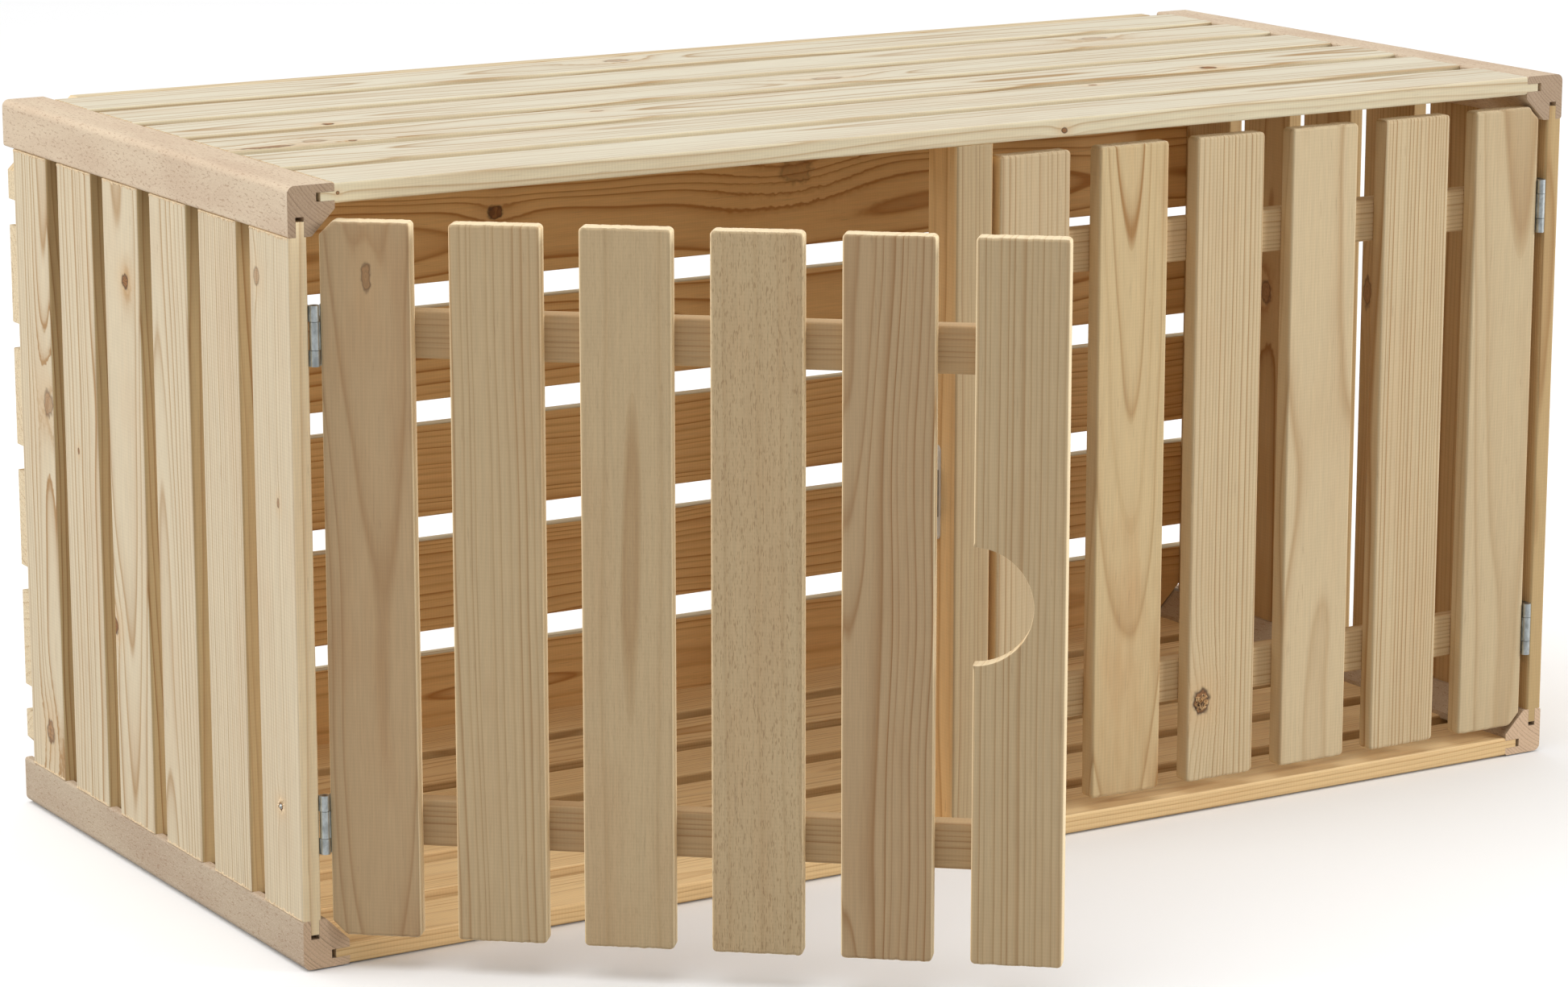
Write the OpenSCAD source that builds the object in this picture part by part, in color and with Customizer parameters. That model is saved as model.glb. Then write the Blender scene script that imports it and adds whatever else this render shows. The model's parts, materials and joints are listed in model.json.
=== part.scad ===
// Slatted wooden rabbit hutch with two swing doors.
// Millimetres, +Z up, front towards -Y, left towards -X.
// The origin is on the ground under the middle of the whole outline, open door included.

/* [Body] */
// Overall width over the two sides
width = 1000; // [840:5:1200]
// Length of the corner rails from front to back
depth = 450; // [380:5:540]
// Overall height from underside to top
height = 498; // [420:1:600]
// How far the corner rails run past the back slats
rail_overhang = 2.5; // [0:0.5:6]

/* [Corner rails] */
// Side of the square that each rail is cut from
rail_s = 32; // [30:0.5:39]
// Leg of the chamfer along the inner edge
rail_chamfer = 16; // [10:0.5:16]
// Radius of the outer edge
rail_r = 5; // [2:0.5:5]
// Radius of the edge beside each groove
lip_r = 2; // [0.5:0.5:2.5]
// Wall between a groove and the outer face
groove_lip = 5.3; // [4:0.1:6]
// Depth of the grooves
groove_depth = 12.5; // [11:0.5:13]

/* [Slats] */
// Thickness of the top, floor, side and door slats
slat_t = 13; // [12:0.5:15.6]
// Width of the top, floor, side and door slats
slat_w = 57; // [45:0.5:60]
// Radius of the slats' long edges
slat_r = 2; // [0.5:0.5:2.5]
// Thickness of the tongue at a slat's end
tongue_t = 5.5; // [4:0.1:6]
// Length of the tongue
tongue_l = 9.5; // [6:0.5:10]
// Play on each side of a tongue in its groove
tongue_fit = 0.15; // [0.05:0.05:0.3]

/* [Back slats] */
// Thickness of the back slats
back_t = 13; // [10:0.5:16]
// Width of the back slats
back_w = 68; // [55:0.5:69]
// Radius of their sawn edges
back_r = 1; // [0.5:0.5:2]
// How far their ends stop short of the side faces
back_inset = 1.5; // [0:0.5:4]
// Gap between a back slat's cut corner and the rail chamfer
back_corner_fit = 1; // [0.5:0.5:4]

/* [Centre post] */
// Width of the post between the doors
post_w = 30; // [24:1:40]
// Depth of the post
post_d = 35; // [32:1:50]
// Radius of the post's long edges
post_r = 3; // [1:0.5:5]
// Side of the square tenon at each end
tenon_s = 16; // [10:1:20]
// Length of the tenon
tenon_l = 8; // [5:0.5:9]
// Play around the tenon in its mortise
tenon_fit = 0.1; // [0.05:0.05:0.3]

/* [Doors] */
// How far the left door stands open, in degrees
left_open = 40; // [0:1:85]
// How far the right door stands open, in degrees
right_open = 0; // [0:1:85]
// Gap above and below a door
door_gap_z = 9; // [4:0.5:14]
// Gap between a door and the post
door_post_gap = 5; // [3:0.5:8]
// Gap between a door's cut corner and the rail chamfer
door_corner_fit = 2; // [1:0.5:5]
// Radius of the door slats' corners seen from the front
door_corner_r = 3; // [2:0.5:5]
// Radius of the finger cut-out
finger_r = 37; // [25:1:40]
// Thickness of the battens behind the door slats
batten_t = 13; // [10:0.5:16]
// Width of the battens
batten_w = 30; // [26:0.5:40]
// Height of the lower batten's middle, and the upper one's from the top
batten_z = 93.5; // [70:0.5:110]
// How far the battens stop short of the closing edge
batten_inset = 10; // [6:1:30]

/* [Hinges] */
// Outside diameter of the knuckles
knuckle_d = 6.4; // [5.5:0.1:8]
// Space on each side of a knuckle
knuckle_play = 0.3; // [0.2:0.05:0.6]
// Height of a hinge
hinge_h = 38; // [30:1:44]
// Height of the middle knuckle, which the door leaf carries
hinge_mid = 17.4; // [10:0.2:20]
// Gap between knuckles
knuckle_gap = 0.3; // [0.1:0.05:0.5]
// Thickness of a leaf
leaf_t = 1; // [0.8:0.1:1.5]
// Width of a leaf from the pin
leaf_w = 26; // [24:0.5:32]
// Height of the leaf's screw holes above and below the middle
leaf_hole_z = 9; // [6:0.5:11]
// Diameter of the hinge pin
pin_d = 3.2; // [2.4:0.1:3.6]
// Play around the pin in the middle knuckle
pin_fit = 0.05; // [0.02:0.01:0.1]

/* [Catches] */
// Height of a catch with its two ears
catch_l = 65; // [50:1:75]
// Height of the block between the ears
block_l = 36; // [28:1:42]
// How far the block stands off the post
block_h = 14; // [12:0.5:18]
// Thickness of the ears
ear_t = 4; // [3:0.5:6]
// Depth of the catch from front to back
catch_d = 13; // [11:0.5:16]
// Radius of the ears' corners
ear_r = 4; // [2:0.5:5]
// Wall of the block around the magnet
block_wall = 2; // [1.5:0.5:3]
// Depth of the magnet's pocket
magnet_d = 9; // [6:0.5:10]
// How far the magnet's poles stand out of the block
pole_proud = 0.5; // [0.2:0.1:1]
// Gap between the poles and the strike plate of a closed door
catch_gap = 0.4; // [0.2:0.1:1]
// Width of a strike plate
strike_w = 13; // [10:0.5:18]
// Height of a strike plate
strike_l = 36; // [24:1:44]
// Thickness of a strike plate
strike_t = 2; // [1:0.5:3]
// How far the strike plate stops short of the closing edge
strike_inset = 1; // [0.5:0.5:4]

/* [Screws] */
// Diameter of the shank
screw_d = 3; // [2.5:0.1:3.5]
// Diameter of the countersunk head
screw_head_d = 6; // [5:0.1:6.5]
// Length of the screws through metal and plastic fittings
fitting_screw_l = 11; // [9:0.5:12]
// Length of the screws through one board into another
board_screw_l = 24; // [20:0.5:25]

/* [Hidden] */
$fn = 48;
count = 6; // slats on each face and in each door
sides = ["left", "right"];
levels = ["bottom", "top"];
cut = 1; // how far a cutting shape runs past the face it cuts

spruce = [0.87, 0.77, 0.6];
beech = [0.8, 0.66, 0.55];
steel = [0.7, 0.72, 0.74];
dark_steel = [0.5, 0.5, 0.52];
white_plastic = [0.92, 0.92, 0.9];

rail_leg = rail_s - rail_chamfer; // flat left beside the chamfer
groove_w = tongue_t + 2 * tongue_fit;
tongue_top = groove_lip + tongue_fit; // tongue's distance from the slat's outer face
shoulder_x = width - 2 * rail_s; // length of top and floor slats between shoulders
shoulder_z = height - 2 * rail_s; // length of side slats between shoulders

hinge_gap = knuckle_d + 2 * knuckle_play;
door_w = width / 2 - slat_t - hinge_gap - door_post_gap - post_w / 2;
door_x = -width / 2 + slat_t + hinge_gap; // hinge edge of the closed left door
door_z = slat_t + door_gap_z;
door_h = height - 2 * door_z;
door_pitch = (door_w - slat_w) / (count - 1);
pin_x = door_x - hinge_gap / 2;

// The front edge of an open door is the hutch's foremost point. The outline is centred on Y = 0.
function door_reach(open) =
    (door_x + door_w - pin_x - slat_r) * sin(open) + slat_r * (1 - cos(open));
foremost = max(door_reach(left_open), door_reach(right_open), knuckle_d / 2);
front_y = (foremost - depth) / 2;

back_y = front_y + depth - rail_overhang - back_t; // front face of the back slats
slat_pitch = (back_y - front_y - slat_w) / (count - 1);
back_pitch = (height - back_w) / (count - 1);
back_l = width - 2 * back_inset;

catch_y = front_y + slat_t + strike_t + catch_gap + pole_proud;
ear_hole_z = block_l / 2 + (catch_l - block_l) / 4;
magnet_w = block_h - 2 * block_wall;
magnet_l = block_l - 2 * block_wall;

function slat_y(i) = front_y + i * slat_pitch;
function back_z(i) = i * back_pitch;
function open_angle(side) = side == "left" ? left_open : right_open;
function hinge_z(level) = level == "top" ? height - batten_z : batten_z;
function numbered(name) = [for (i = [1:count]) str(name, "_", i)];

// ---- Helpers ----

module on_side(side) mirror([side == "right" ? 1 : 0, 0, 0]) children();

// Carries a shape of the closed left door to its place on the open door of either side.
module hung(side)
    on_side(side) translate([pin_x, front_y, 0]) rotate([0, 0, -open_angle(side)])
        translate([-pin_x, -front_y, 0]) children();

// Runs an outline along Y. X of the outline goes inwards from the side, Y inwards from the level.
module along_corner(side, level, y, length)
    on_side(side) translate([0, 0, level == "top" ? height : 0])
        mirror([0, 0, level == "top" ? 1 : 0]) translate([-width / 2, y + length, 0])
            rotate([90, 0, 0]) linear_extrude(length) children();

module rounded_rect(size, r) {
    translate([r, 0]) square([size.x - 2 * r, size.y]);
    translate([0, r]) square([size.x, size.y - 2 * r]);
    for (x = [r, size.x - r], y = [r, size.y - r]) translate([x, y]) circle(r);
}

// Runs an outline along X: its X becomes Y and its Y becomes Z.
module along_x(length) rotate([90, 0, 90]) linear_extrude(length) children();

// Runs an outline along Y from 0: its Y becomes Z.
module along_y(length) translate([0, length, 0]) rotate([90, 0, 0]) linear_extrude(length) children();

// Removes what lies outside a line parallel to the rail chamfer, at the given gap inside it.
module beyond_chamfer(side, level, y, length, gap) {
    leg = rail_s + rail_leg + gap * sqrt(2);
    along_corner(side, level, y, length) polygon([[-cut, -cut], [leg + cut, -cut], [-cut, leg + cut]]);
}

// Countersunk screw with its head's top at Z = 0 and its point at -length.
module screw(length) {
    half = screw_d / 2;
    head = screw_head_d / 2;
    rotate_extrude() polygon([
        [0, 0], [head, 0], [half, half - head], [half, half * 2 - length], [0, -length]
    ]);
}

// ---- Corner rails and slats ----

module rail_profile() {
    difference() {
        square(rail_s);
        corner_round(rail_r);
        translate([rail_s, 0]) mirror([1, 0, 0]) corner_round(lip_r);
        translate([0, rail_s]) mirror([0, 1, 0]) corner_round(lip_r);
        polygon([
            [rail_s + cut, rail_leg - cut], [rail_leg - cut, rail_s + cut],
            [rail_s + cut, rail_s + cut]
        ]);
        translate([rail_s - groove_depth, groove_lip]) square([groove_depth + cut, groove_w]);
        translate([groove_lip, rail_s - groove_depth]) square([groove_w, groove_depth + cut]);
    }
}

// What a rounding of radius r takes off the corner at the origin.
module corner_round(r) difference() {
    translate([-cut, -cut]) square(r + cut);
    translate([r, r]) circle(r);
}

module rail(side, level) color(beech) along_corner(side, level, front_y, depth) rail_profile();

// A slat with a tongue at each end, along X, outer face at Z = 0 and front edge at Y = 0.
module housed_slat(length) {
    translate([-length / 2, 0, -slat_t]) along_x(length) rounded_rect([slat_w, slat_t], slat_r);
    translate([-length / 2 - tongue_l, 0, -tongue_top - tongue_t])
        cube([length + 2 * tongue_l, slat_w, tongue_t]);
}

module top_slat(i) color(spruce) difference() {
    translate([0, slat_y(i), height]) housed_slat(shoulder_x);
    if (i == 0) post_tenons(tenon_fit);
    if (i == count - 1) back_screws();
}

module floor_slat(i) color(spruce) difference() {
    translate([0, slat_y(i), 0]) mirror([0, 0, 1]) housed_slat(shoulder_x);
    if (i == 0) post_tenons(tenon_fit);
    if (i == count - 1) back_screws();
}

module side_slat(side, i) color(spruce) difference() {
    on_side(side) translate([-width / 2, slat_y(i), height / 2]) rotate([0, -90, 0])
        housed_slat(shoulder_z);
    if (i == 0) frame_leaf_screws();
    if (i == count - 1) back_screws();
}

// Back slats are numbered from the floor up.
module back_slat(i) color(spruce) difference() {
    translate([-back_l / 2, back_y, back_z(i)]) along_x(back_l) rounded_rect([back_t, back_w], back_r);
    if (i == 0 || i == count - 1) for (side = sides)
        beyond_chamfer(side, i == 0 ? "bottom" : "top", back_y - cut, back_t + 2 * cut, back_corner_fit);
    back_screws();
}

module centre_post() color(spruce) difference() {
    union() {
        translate([-post_w / 2, front_y, slat_t]) linear_extrude(height - 2 * slat_t)
            rounded_rect([post_w, post_d], post_r);
        post_tenons(0);
    }
    catch_screws();
}

// The post's two tenons, or their mortises when play is given.
module post_tenons(play) {
    side = tenon_s + 2 * play;
    run = height - 2 * slat_t + 2 * tenon_l + 4 * play;
    translate([-side / 2, front_y + post_d / 2 - side / 2, (height - run) / 2]) cube([side, side, run]);
}

// ---- Doors ----

// Board with every edge eased: edge_r round its section, corner_r at its corners seen from the front.
module eased_board(w, t, h, edge_r, corner_r) intersection() {
    linear_extrude(h) rounded_rect([w, t], edge_r);
    along_x(w) rounded_rect([t, h], edge_r);
    along_y(t) rounded_rect([w, h], corner_r);
}

// Door slats are numbered from the hinge side. The last one has the finger cut-out.
module door_slat(side, i) color(spruce) hung(side) difference() {
    translate([door_x + i * door_pitch, front_y, door_z])
        eased_board(slat_w, slat_t, door_h, slat_r, door_corner_r);
    if (i == 0) {
        for (level = levels)
            beyond_chamfer("left", level, front_y - cut, slat_t + 2 * cut, door_corner_fit);
        door_leaf_screws();
    }
    if (i == count - 1) {
        translate([door_x + i * door_pitch, front_y - cut, height / 2]) rotate([-90, 0, 0])
            cylinder(h = slat_t + 2 * cut, r = finger_r);
        strike_screw();
    }
    batten_screws();
}

module door_battens(side) color(spruce) hung(side) difference() {
    for (level = levels)
        translate([door_x, front_y + slat_t, hinge_z(level) - batten_w / 2])
            along_x(door_w - batten_inset) rounded_rect([batten_t, batten_w], slat_r);
    batten_screws();
    door_leaf_screws();
}

// ---- Hinges, each round a pin at its own origin ----

// Outline of a leaf with its knuckle, lying against the face on the -X side.
module leaf_outline(bore) difference() {
    union() {
        circle(d = knuckle_d);
        translate([-hinge_gap / 2, 0]) square([leaf_t, leaf_w]);
    }
    circle(d = bore);
}

// Height of the knuckle zones of a leaf, as [start, length] from the hinge's middle.
outer_zone = (hinge_h - hinge_mid) / 2 - knuckle_gap;
frame_zones = [[-hinge_h / 2, outer_zone], [hinge_h / 2 - outer_zone, outer_zone]];
door_zones = [[-hinge_mid / 2, hinge_mid]];

module leaf(zones, bore) difference() {
    union() {
        for (z = zones) translate([0, 0, z[0]]) linear_extrude(z[1]) leaf_outline(bore);
        translate([-hinge_gap / 2, hinge_gap / 2, -hinge_h / 2])
            cube([leaf_t, leaf_w - hinge_gap / 2, hinge_h]);
    }
    leaf_screws();
}

// The front hole meets the slat's edge and the rear one the batten's end.
module leaf_screws()
    for (hole = [[slat_t / 2, -leaf_hole_z], [slat_t + batten_t / 2, leaf_hole_z]])
        translate([leaf_t - hinge_gap / 2, hole[0], hole[1]]) rotate([0, 90, 0]) screw(fitting_screw_l);

module at_pins() for (level = levels) translate([pin_x, front_y, hinge_z(level)]) children();

module frame_leaf_screws() for (side = sides) on_side(side) at_pins() leaf_screws();

module door_leaf_screws() at_pins() mirror([1, 0, 0]) leaf_screws();

module hinge_frame_leaves() color(steel)
    for (side = sides) on_side(side) at_pins() leaf(frame_zones, pin_d);

module hinge_door_leaves(side) color(steel)
    hung(side) at_pins() mirror([1, 0, 0]) leaf(door_zones, pin_d + 2 * pin_fit);

module hinge_pins() color(dark_steel)
    for (side = sides) on_side(side) at_pins() cylinder(h = hinge_h, d = pin_d, center = true);

// ---- Magnetic catches ----

module at_catches()
    for (side = sides) on_side(side) translate([-post_w / 2, catch_y, height / 2]) children();

module catch_housings() color(white_plastic) difference() {
    at_catches() difference() {
        union() {
            translate([-ear_t, 0, -catch_l / 2]) along_x(ear_t) rounded_rect([catch_d, catch_l], ear_r);
            translate([-block_h, 0, -block_l / 2]) cube([block_h, catch_d, block_l]);
        }
        translate([-block_h + block_wall, -cut, -magnet_l / 2]) cube([magnet_w, magnet_d + cut, magnet_l]);
    }
    catch_screws();
}

module catch_magnets() color(dark_steel) at_catches()
    translate([-block_h + block_wall, -pole_proud, -magnet_l / 2])
        cube([magnet_w, magnet_d + pole_proud, magnet_l]);

module catch_screws() at_catches() for (z = [-ear_hole_z, ear_hole_z])
    translate([-ear_t, catch_d / 2, z]) rotate([0, -90, 0]) screw(fitting_screw_l);

module strike_plate(side) color(steel) hung(side) difference() {
    translate([door_x + door_w - strike_inset - strike_w, front_y + slat_t, (height - strike_l) / 2])
        along_y(strike_t) rounded_rect([strike_w, strike_l], slat_r);
    strike_screw();
}

// ---- Screws ----

// A screw driven towards -Y with its head's top at the given place.
module screw_forward(place, length) translate(place) rotate([-90, 0, 0]) screw(length);

module strike_screw() screw_forward(
    [door_x + door_w - strike_inset - strike_w / 2, front_y + slat_t + strike_t, height / 2],
    fitting_screw_l
);

// One through each crossing of a batten and a slat, alternately high and low.
module batten_screws() for (level = levels, i = [0:count - 1])
    screw_forward(
        [door_x + slat_w / 2 + i * door_pitch, front_y + slat_t + batten_t,
         hinge_z(level) + (i % 2 == 0 ? 1 : -1) * batten_w / 5],
        board_screw_l
    );

// Two at each end of the middle back slats, one at each end of the outer ones, which have cut
// corners, and three along the edges of the rear top and floor slats.
module back_screws() {
    head_y = back_y + back_t;
    edge_x = (width - slat_t) / 2;
    for (x = [-edge_x, edge_x]) {
        for (i = [1:count - 2], share = [1 / 4, 3 / 4])
            screw_forward([x, head_y, back_z(i) + back_w * share], board_screw_l);
        for (z = [back_w * 5 / 6, height - back_w * 5 / 6])
            screw_forward([x, head_y, z], board_screw_l);
    }
    for (x = [-0.3, 0, 0.3], z = [slat_t / 2, height - slat_t / 2])
        screw_forward([x * width, head_y, z], board_screw_l);
}

module frame_screws() color(steel) {
    frame_leaf_screws();
    catch_screws();
    back_screws();
}

module door_screws(side) color(steel) hung(side) {
    door_leaf_screws();
    strike_screw();
    batten_screws();
}

// ---- Nodes ----

for (level = levels, side = sides)
    rail(side, level);
for (i = [0:count - 1]) {
    top_slat(i);
    floor_slat(i);
    back_slat(i);
    for (side = sides) {
        side_slat(side, i);
        door_slat(side, i);
    }
}
for (side = sides) {
    door_battens(side);
    hinge_door_leaves(side);
    strike_plate(side);
    door_screws(side);
}
centre_post();
hinge_frame_leaves();
hinge_pins();
catch_housings();
catch_magnets();
frame_screws();
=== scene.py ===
# %% [markdown]
# # A slatted rabbit hutch
# The carcass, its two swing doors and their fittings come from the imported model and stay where
# they are. This file gives every board its own grain, remakes the door slats with eased, slightly
# torn edges, and adds what a bench leaves behind: screws with a cross recess, torn fibres at the
# shoulders of the side slats, a crumbled knot, and a screw's tip in a ring of splinters.

import json
import math

import bmesh
import bpy
import numpy as np
from mathutils import Matrix, Vector


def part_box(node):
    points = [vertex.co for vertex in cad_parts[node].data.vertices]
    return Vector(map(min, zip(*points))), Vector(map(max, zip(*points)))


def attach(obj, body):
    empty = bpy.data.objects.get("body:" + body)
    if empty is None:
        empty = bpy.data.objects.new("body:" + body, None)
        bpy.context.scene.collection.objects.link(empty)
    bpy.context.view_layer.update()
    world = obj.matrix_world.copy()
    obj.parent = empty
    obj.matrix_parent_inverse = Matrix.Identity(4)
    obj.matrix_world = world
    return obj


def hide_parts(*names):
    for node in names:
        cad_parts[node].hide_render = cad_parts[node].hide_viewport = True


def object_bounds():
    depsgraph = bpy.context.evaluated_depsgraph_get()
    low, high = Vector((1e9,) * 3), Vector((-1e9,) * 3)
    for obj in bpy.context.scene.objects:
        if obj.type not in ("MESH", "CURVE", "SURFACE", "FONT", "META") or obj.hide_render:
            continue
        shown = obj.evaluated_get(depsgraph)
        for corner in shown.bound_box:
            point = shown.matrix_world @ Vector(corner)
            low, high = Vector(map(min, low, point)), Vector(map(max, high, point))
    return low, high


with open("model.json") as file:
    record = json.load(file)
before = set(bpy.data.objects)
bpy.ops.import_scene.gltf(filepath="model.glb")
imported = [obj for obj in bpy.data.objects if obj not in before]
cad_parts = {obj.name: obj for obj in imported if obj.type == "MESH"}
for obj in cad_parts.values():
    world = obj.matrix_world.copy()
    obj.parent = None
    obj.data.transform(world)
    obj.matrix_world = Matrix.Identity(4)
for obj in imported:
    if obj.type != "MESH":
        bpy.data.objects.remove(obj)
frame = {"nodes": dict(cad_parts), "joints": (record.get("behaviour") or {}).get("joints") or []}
cad_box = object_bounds()
nodes = frame["nodes"]
MM = 0.001
SLATS = 6  # slats on each face and in each door
print("CAD box", [tuple(round(v, 4) for v in corner) for corner in cad_box])

# %% [markdown]
# The camera stands at the left, a little above the hutch, with a long lens, so the upright edges
# stay nearly parallel. A long lens from far away flattens the object, which suits a catalogue view.

# %% Camera
EYE = Vector((-1.742, -2.704, 0.950))
TURN = math.radians(31.25)  # to the right of straight ahead
DIP = math.radians(12.53)  # below the horizon
SENSOR, LENS = 36, 110.66  # in millimetres
camera_data = bpy.data.cameras.new("camera")
camera_data.sensor_width = SENSOR
camera_data.lens = LENS
camera = bpy.data.objects.new("camera", camera_data)
camera.location = EYE
camera.rotation_euler = (math.radians(90) - DIP, 0, -TURN)
bpy.context.scene.collection.objects.link(camera)
bpy.context.scene.camera = camera
print("camera at", tuple(EYE), "lens", camera_data.lens)

# %% [markdown]
# Soft studio light: a very wide sun stands for a large panel overhead, with one panel at the left
# and a little behind, and one at the right front. The door that stands open faces between the two
# side panels, so it is the darkest front.

# %% Light
SUN_POWER = 2.1
SUN_SPREAD = math.radians(70)
SUN_TURN = (math.radians(-8), math.radians(-10), 0)


def soft_box(name, place, target, size, power):
    """A square area light of the given size in metres and power in watts, aimed at a target."""
    data = bpy.data.lights.new(name, "AREA")
    data.size = size
    data.energy = power
    lamp = bpy.data.objects.new(name, data)
    lamp.location = place
    lamp.rotation_euler = (Vector(target) - Vector(place)).to_track_quat("-Z", "Y").to_euler()
    bpy.context.scene.collection.objects.link(lamp)


soft_box("left panel", place=(-3.0, 1.0, 1.5), target=(-0.3, 0.1, 0.25), size=1.8, power=42)
soft_box("right panel", place=(7.5, -5.6, 2.8), target=(0, 0, 0.25), size=3.5, power=600)
sky_data = bpy.data.lights.new("overhead light", "SUN")
sky_data.energy = SUN_POWER
sky_data.angle = SUN_SPREAD
sky = bpy.data.objects.new("overhead light", sky_data)
sky.rotation_euler = SUN_TURN
bpy.context.scene.collection.objects.link(sky)
bpy.context.scene.view_settings.view_transform = "Standard"
print("two panels and an overhead light")

# %% [markdown]
# The backdrop is white to the eye, but lights the object only a little. A Light Path node tells the
# two apart: it is 1 on a ray that comes straight from the camera, and 0 on any other.

# %% Backdrop
AMBIENT = 0.30
WHITE = (1, 1, 1, 1)
world = bpy.data.worlds.new("studio")
bpy.context.scene.world = world
world.use_nodes = True
studio = world.node_tree
background = studio.nodes["Background"]
background.inputs["Color"].default_value = WHITE
background.inputs["Strength"].default_value = AMBIENT
backdrop = studio.nodes.new("ShaderNodeBackground")
backdrop.inputs["Color"].default_value = WHITE
backdrop.inputs["Strength"].default_value = 1.0
eye_only = studio.nodes.new("ShaderNodeLightPath")
blend = studio.nodes.new("ShaderNodeMixShader")
studio.links.new(eye_only.outputs["Is Camera Ray"], blend.inputs[0])
studio.links.new(background.outputs[0], blend.inputs[1])
studio.links.new(backdrop.outputs[0], blend.inputs[2])
studio.links.new(blend.outputs[0], studio.nodes["World Output"].inputs[0])
print("backdrop", world.name)

# %% [markdown]
# The floor is one plain square. It looks nearly white, but throws back less light than it seems to,
# in the same way as the backdrop, or the undersides of the boards would glow.

# %% Floor
FLOOR_SIDE = 30
FLOOR_LEVEL = -0.001  # just under the rails, so that no two faces lie in one plane
SEEN_FLOOR, BOUNCE_FLOOR = 0.97, 0.5  # what the eye sees, and what lights the object from below
FLOOR_ROUGHNESS = 0.9
half = FLOOR_SIDE / 2
corners = [(-half, -half), (half, -half), (half, half), (-half, half)]
floor_mesh = bpy.data.meshes.new("floor")
floor_mesh.from_pydata([(x, y, FLOOR_LEVEL) for x, y in corners], [], [(0, 1, 2, 3)])
floor = bpy.data.objects.new("floor", floor_mesh)
bpy.context.scene.collection.objects.link(floor)
floor_material = bpy.data.materials.new("pale floor")
floor_material.use_nodes = True
floor_tree = floor_material.node_tree
floor_shader = floor_tree.nodes["Principled BSDF"]
floor_shader.inputs["Roughness"].default_value = FLOOR_ROUGHNESS
seen = floor_tree.nodes.new("ShaderNodeLightPath")
level = floor_tree.nodes.new("ShaderNodeMapRange")
level.inputs["To Min"].default_value = BOUNCE_FLOOR
level.inputs["To Max"].default_value = SEEN_FLOOR
floor_tree.links.new(seen.outputs["Is Camera Ray"], level.inputs["Value"])
floor_tree.links.new(level.outputs["Result"], floor_shader.inputs["Base Color"])
floor_mesh.materials.append(floor_material)
print("floor", FLOOR_SIDE, "m square")

# %% [markdown]
# Materials here are built from nodes in code. A small helper keeps that readable: it adds a node,
# sets its properties and either links an input or sets its value, depending on what it is given.

# %% A helper for wiring nodes
class Wiring:
    """Adds nodes to one node tree. An input takes a link if it is given a socket, else a value."""

    def __init__(self, tree):
        self.tree = tree

    def add(self, kind, wires=None, **settings):
        node = self.tree.nodes.new(kind)
        for key, value in settings.items():
            setattr(node, key, value)
        for key, value in (wires or {}).items():
            self.feed(node.inputs[key], value)
        return node

    def feed(self, socket, value):
        if isinstance(value, bpy.types.NodeSocket):
            self.tree.links.new(value, socket)
        else:
            socket.default_value = value

    def math(self, operation, *values, clamp=False):
        wires = dict(enumerate(values))
        return self.add("ShaderNodeMath", wires, operation=operation, use_clamp=clamp).outputs[0]

    def vector(self, operation, *values):
        found = self.add("ShaderNodeVectorMath", dict(enumerate(values)), operation=operation)
        return found.outputs["Value" if operation == "LENGTH" else "Vector"]

    def stretch(self, vector, scale, offset=(0, 0, 0)):
        """The vector times scale plus offset."""
        return self.vector("MULTIPLY_ADD", vector, scale, offset)

    def noise(self, vector, detail=2.0, roughness=0.5, out="Fac"):
        """Noise with a cell of 1 in the vector's own units."""
        wires = {"Vector": vector, "Scale": 1.0, "Detail": detail, "Roughness": roughness}
        return self.add("ShaderNodeTexNoise", wires).outputs[out]

    def step(self, value, low, high, to_low=0.0, to_high=1.0):
        """Smooth step from to_low at low to to_high at high."""
        wires = {"Value": value, "From Min": low, "From Max": high, "To Min": to_low, "To Max": to_high}
        node = self.add("ShaderNodeMapRange", wires, interpolation_type="SMOOTHSTEP")
        return node.outputs["Result"]

    def ramp(self, value, stops):
        """A curve through (place, height) stops."""
        node = self.add("ShaderNodeValToRGB", {"Fac": value})
        elements = node.color_ramp.elements
        while len(elements) < len(stops):
            elements.new(1.0)
        for element, (place, height) in zip(elements, stops):
            element.position = place
            element.color = (height, height, height, 1)
        return node.outputs["Color"]

    def mix(self, share, first, second, blend_type="MIX"):
        node = self.add("ShaderNodeMix", data_type="RGBA", blend_type=blend_type)
        self.feed(node.inputs["Factor"], share)
        self.feed(node.inputs[6], first)
        self.feed(node.inputs[7], second)
        return node.outputs[2]

    def apart(self, vector):
        return self.add("ShaderNodeSeparateXYZ", {0: vector}).outputs

    def together(self, x, y, z):
        return self.add("ShaderNodeCombineXYZ", {0: x, 1: y, 2: z}).outputs[0]

    def group(self, tree, wires):
        node = self.add("ShaderNodeGroup", node_tree=tree)
        for key, value in wires.items():
            self.feed(node.inputs[key], value)
        return node.outputs

    def relief(self, shader, height, strength, distance):
        """Feeds the shader's normal from a height. Distance is the depth in metres of height 1."""
        wires = {"Height": height, "Strength": strength, "Distance": distance}
        self.feed(shader.inputs["Normal"], self.add("ShaderNodeBump", wires).outputs[0])


def new_material(name):
    """An empty material, its wiring and its shader."""
    material = bpy.data.materials.new(name)
    material.use_nodes = True
    return material, Wiring(material.node_tree), material.node_tree.nodes["Principled BSDF"]


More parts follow.
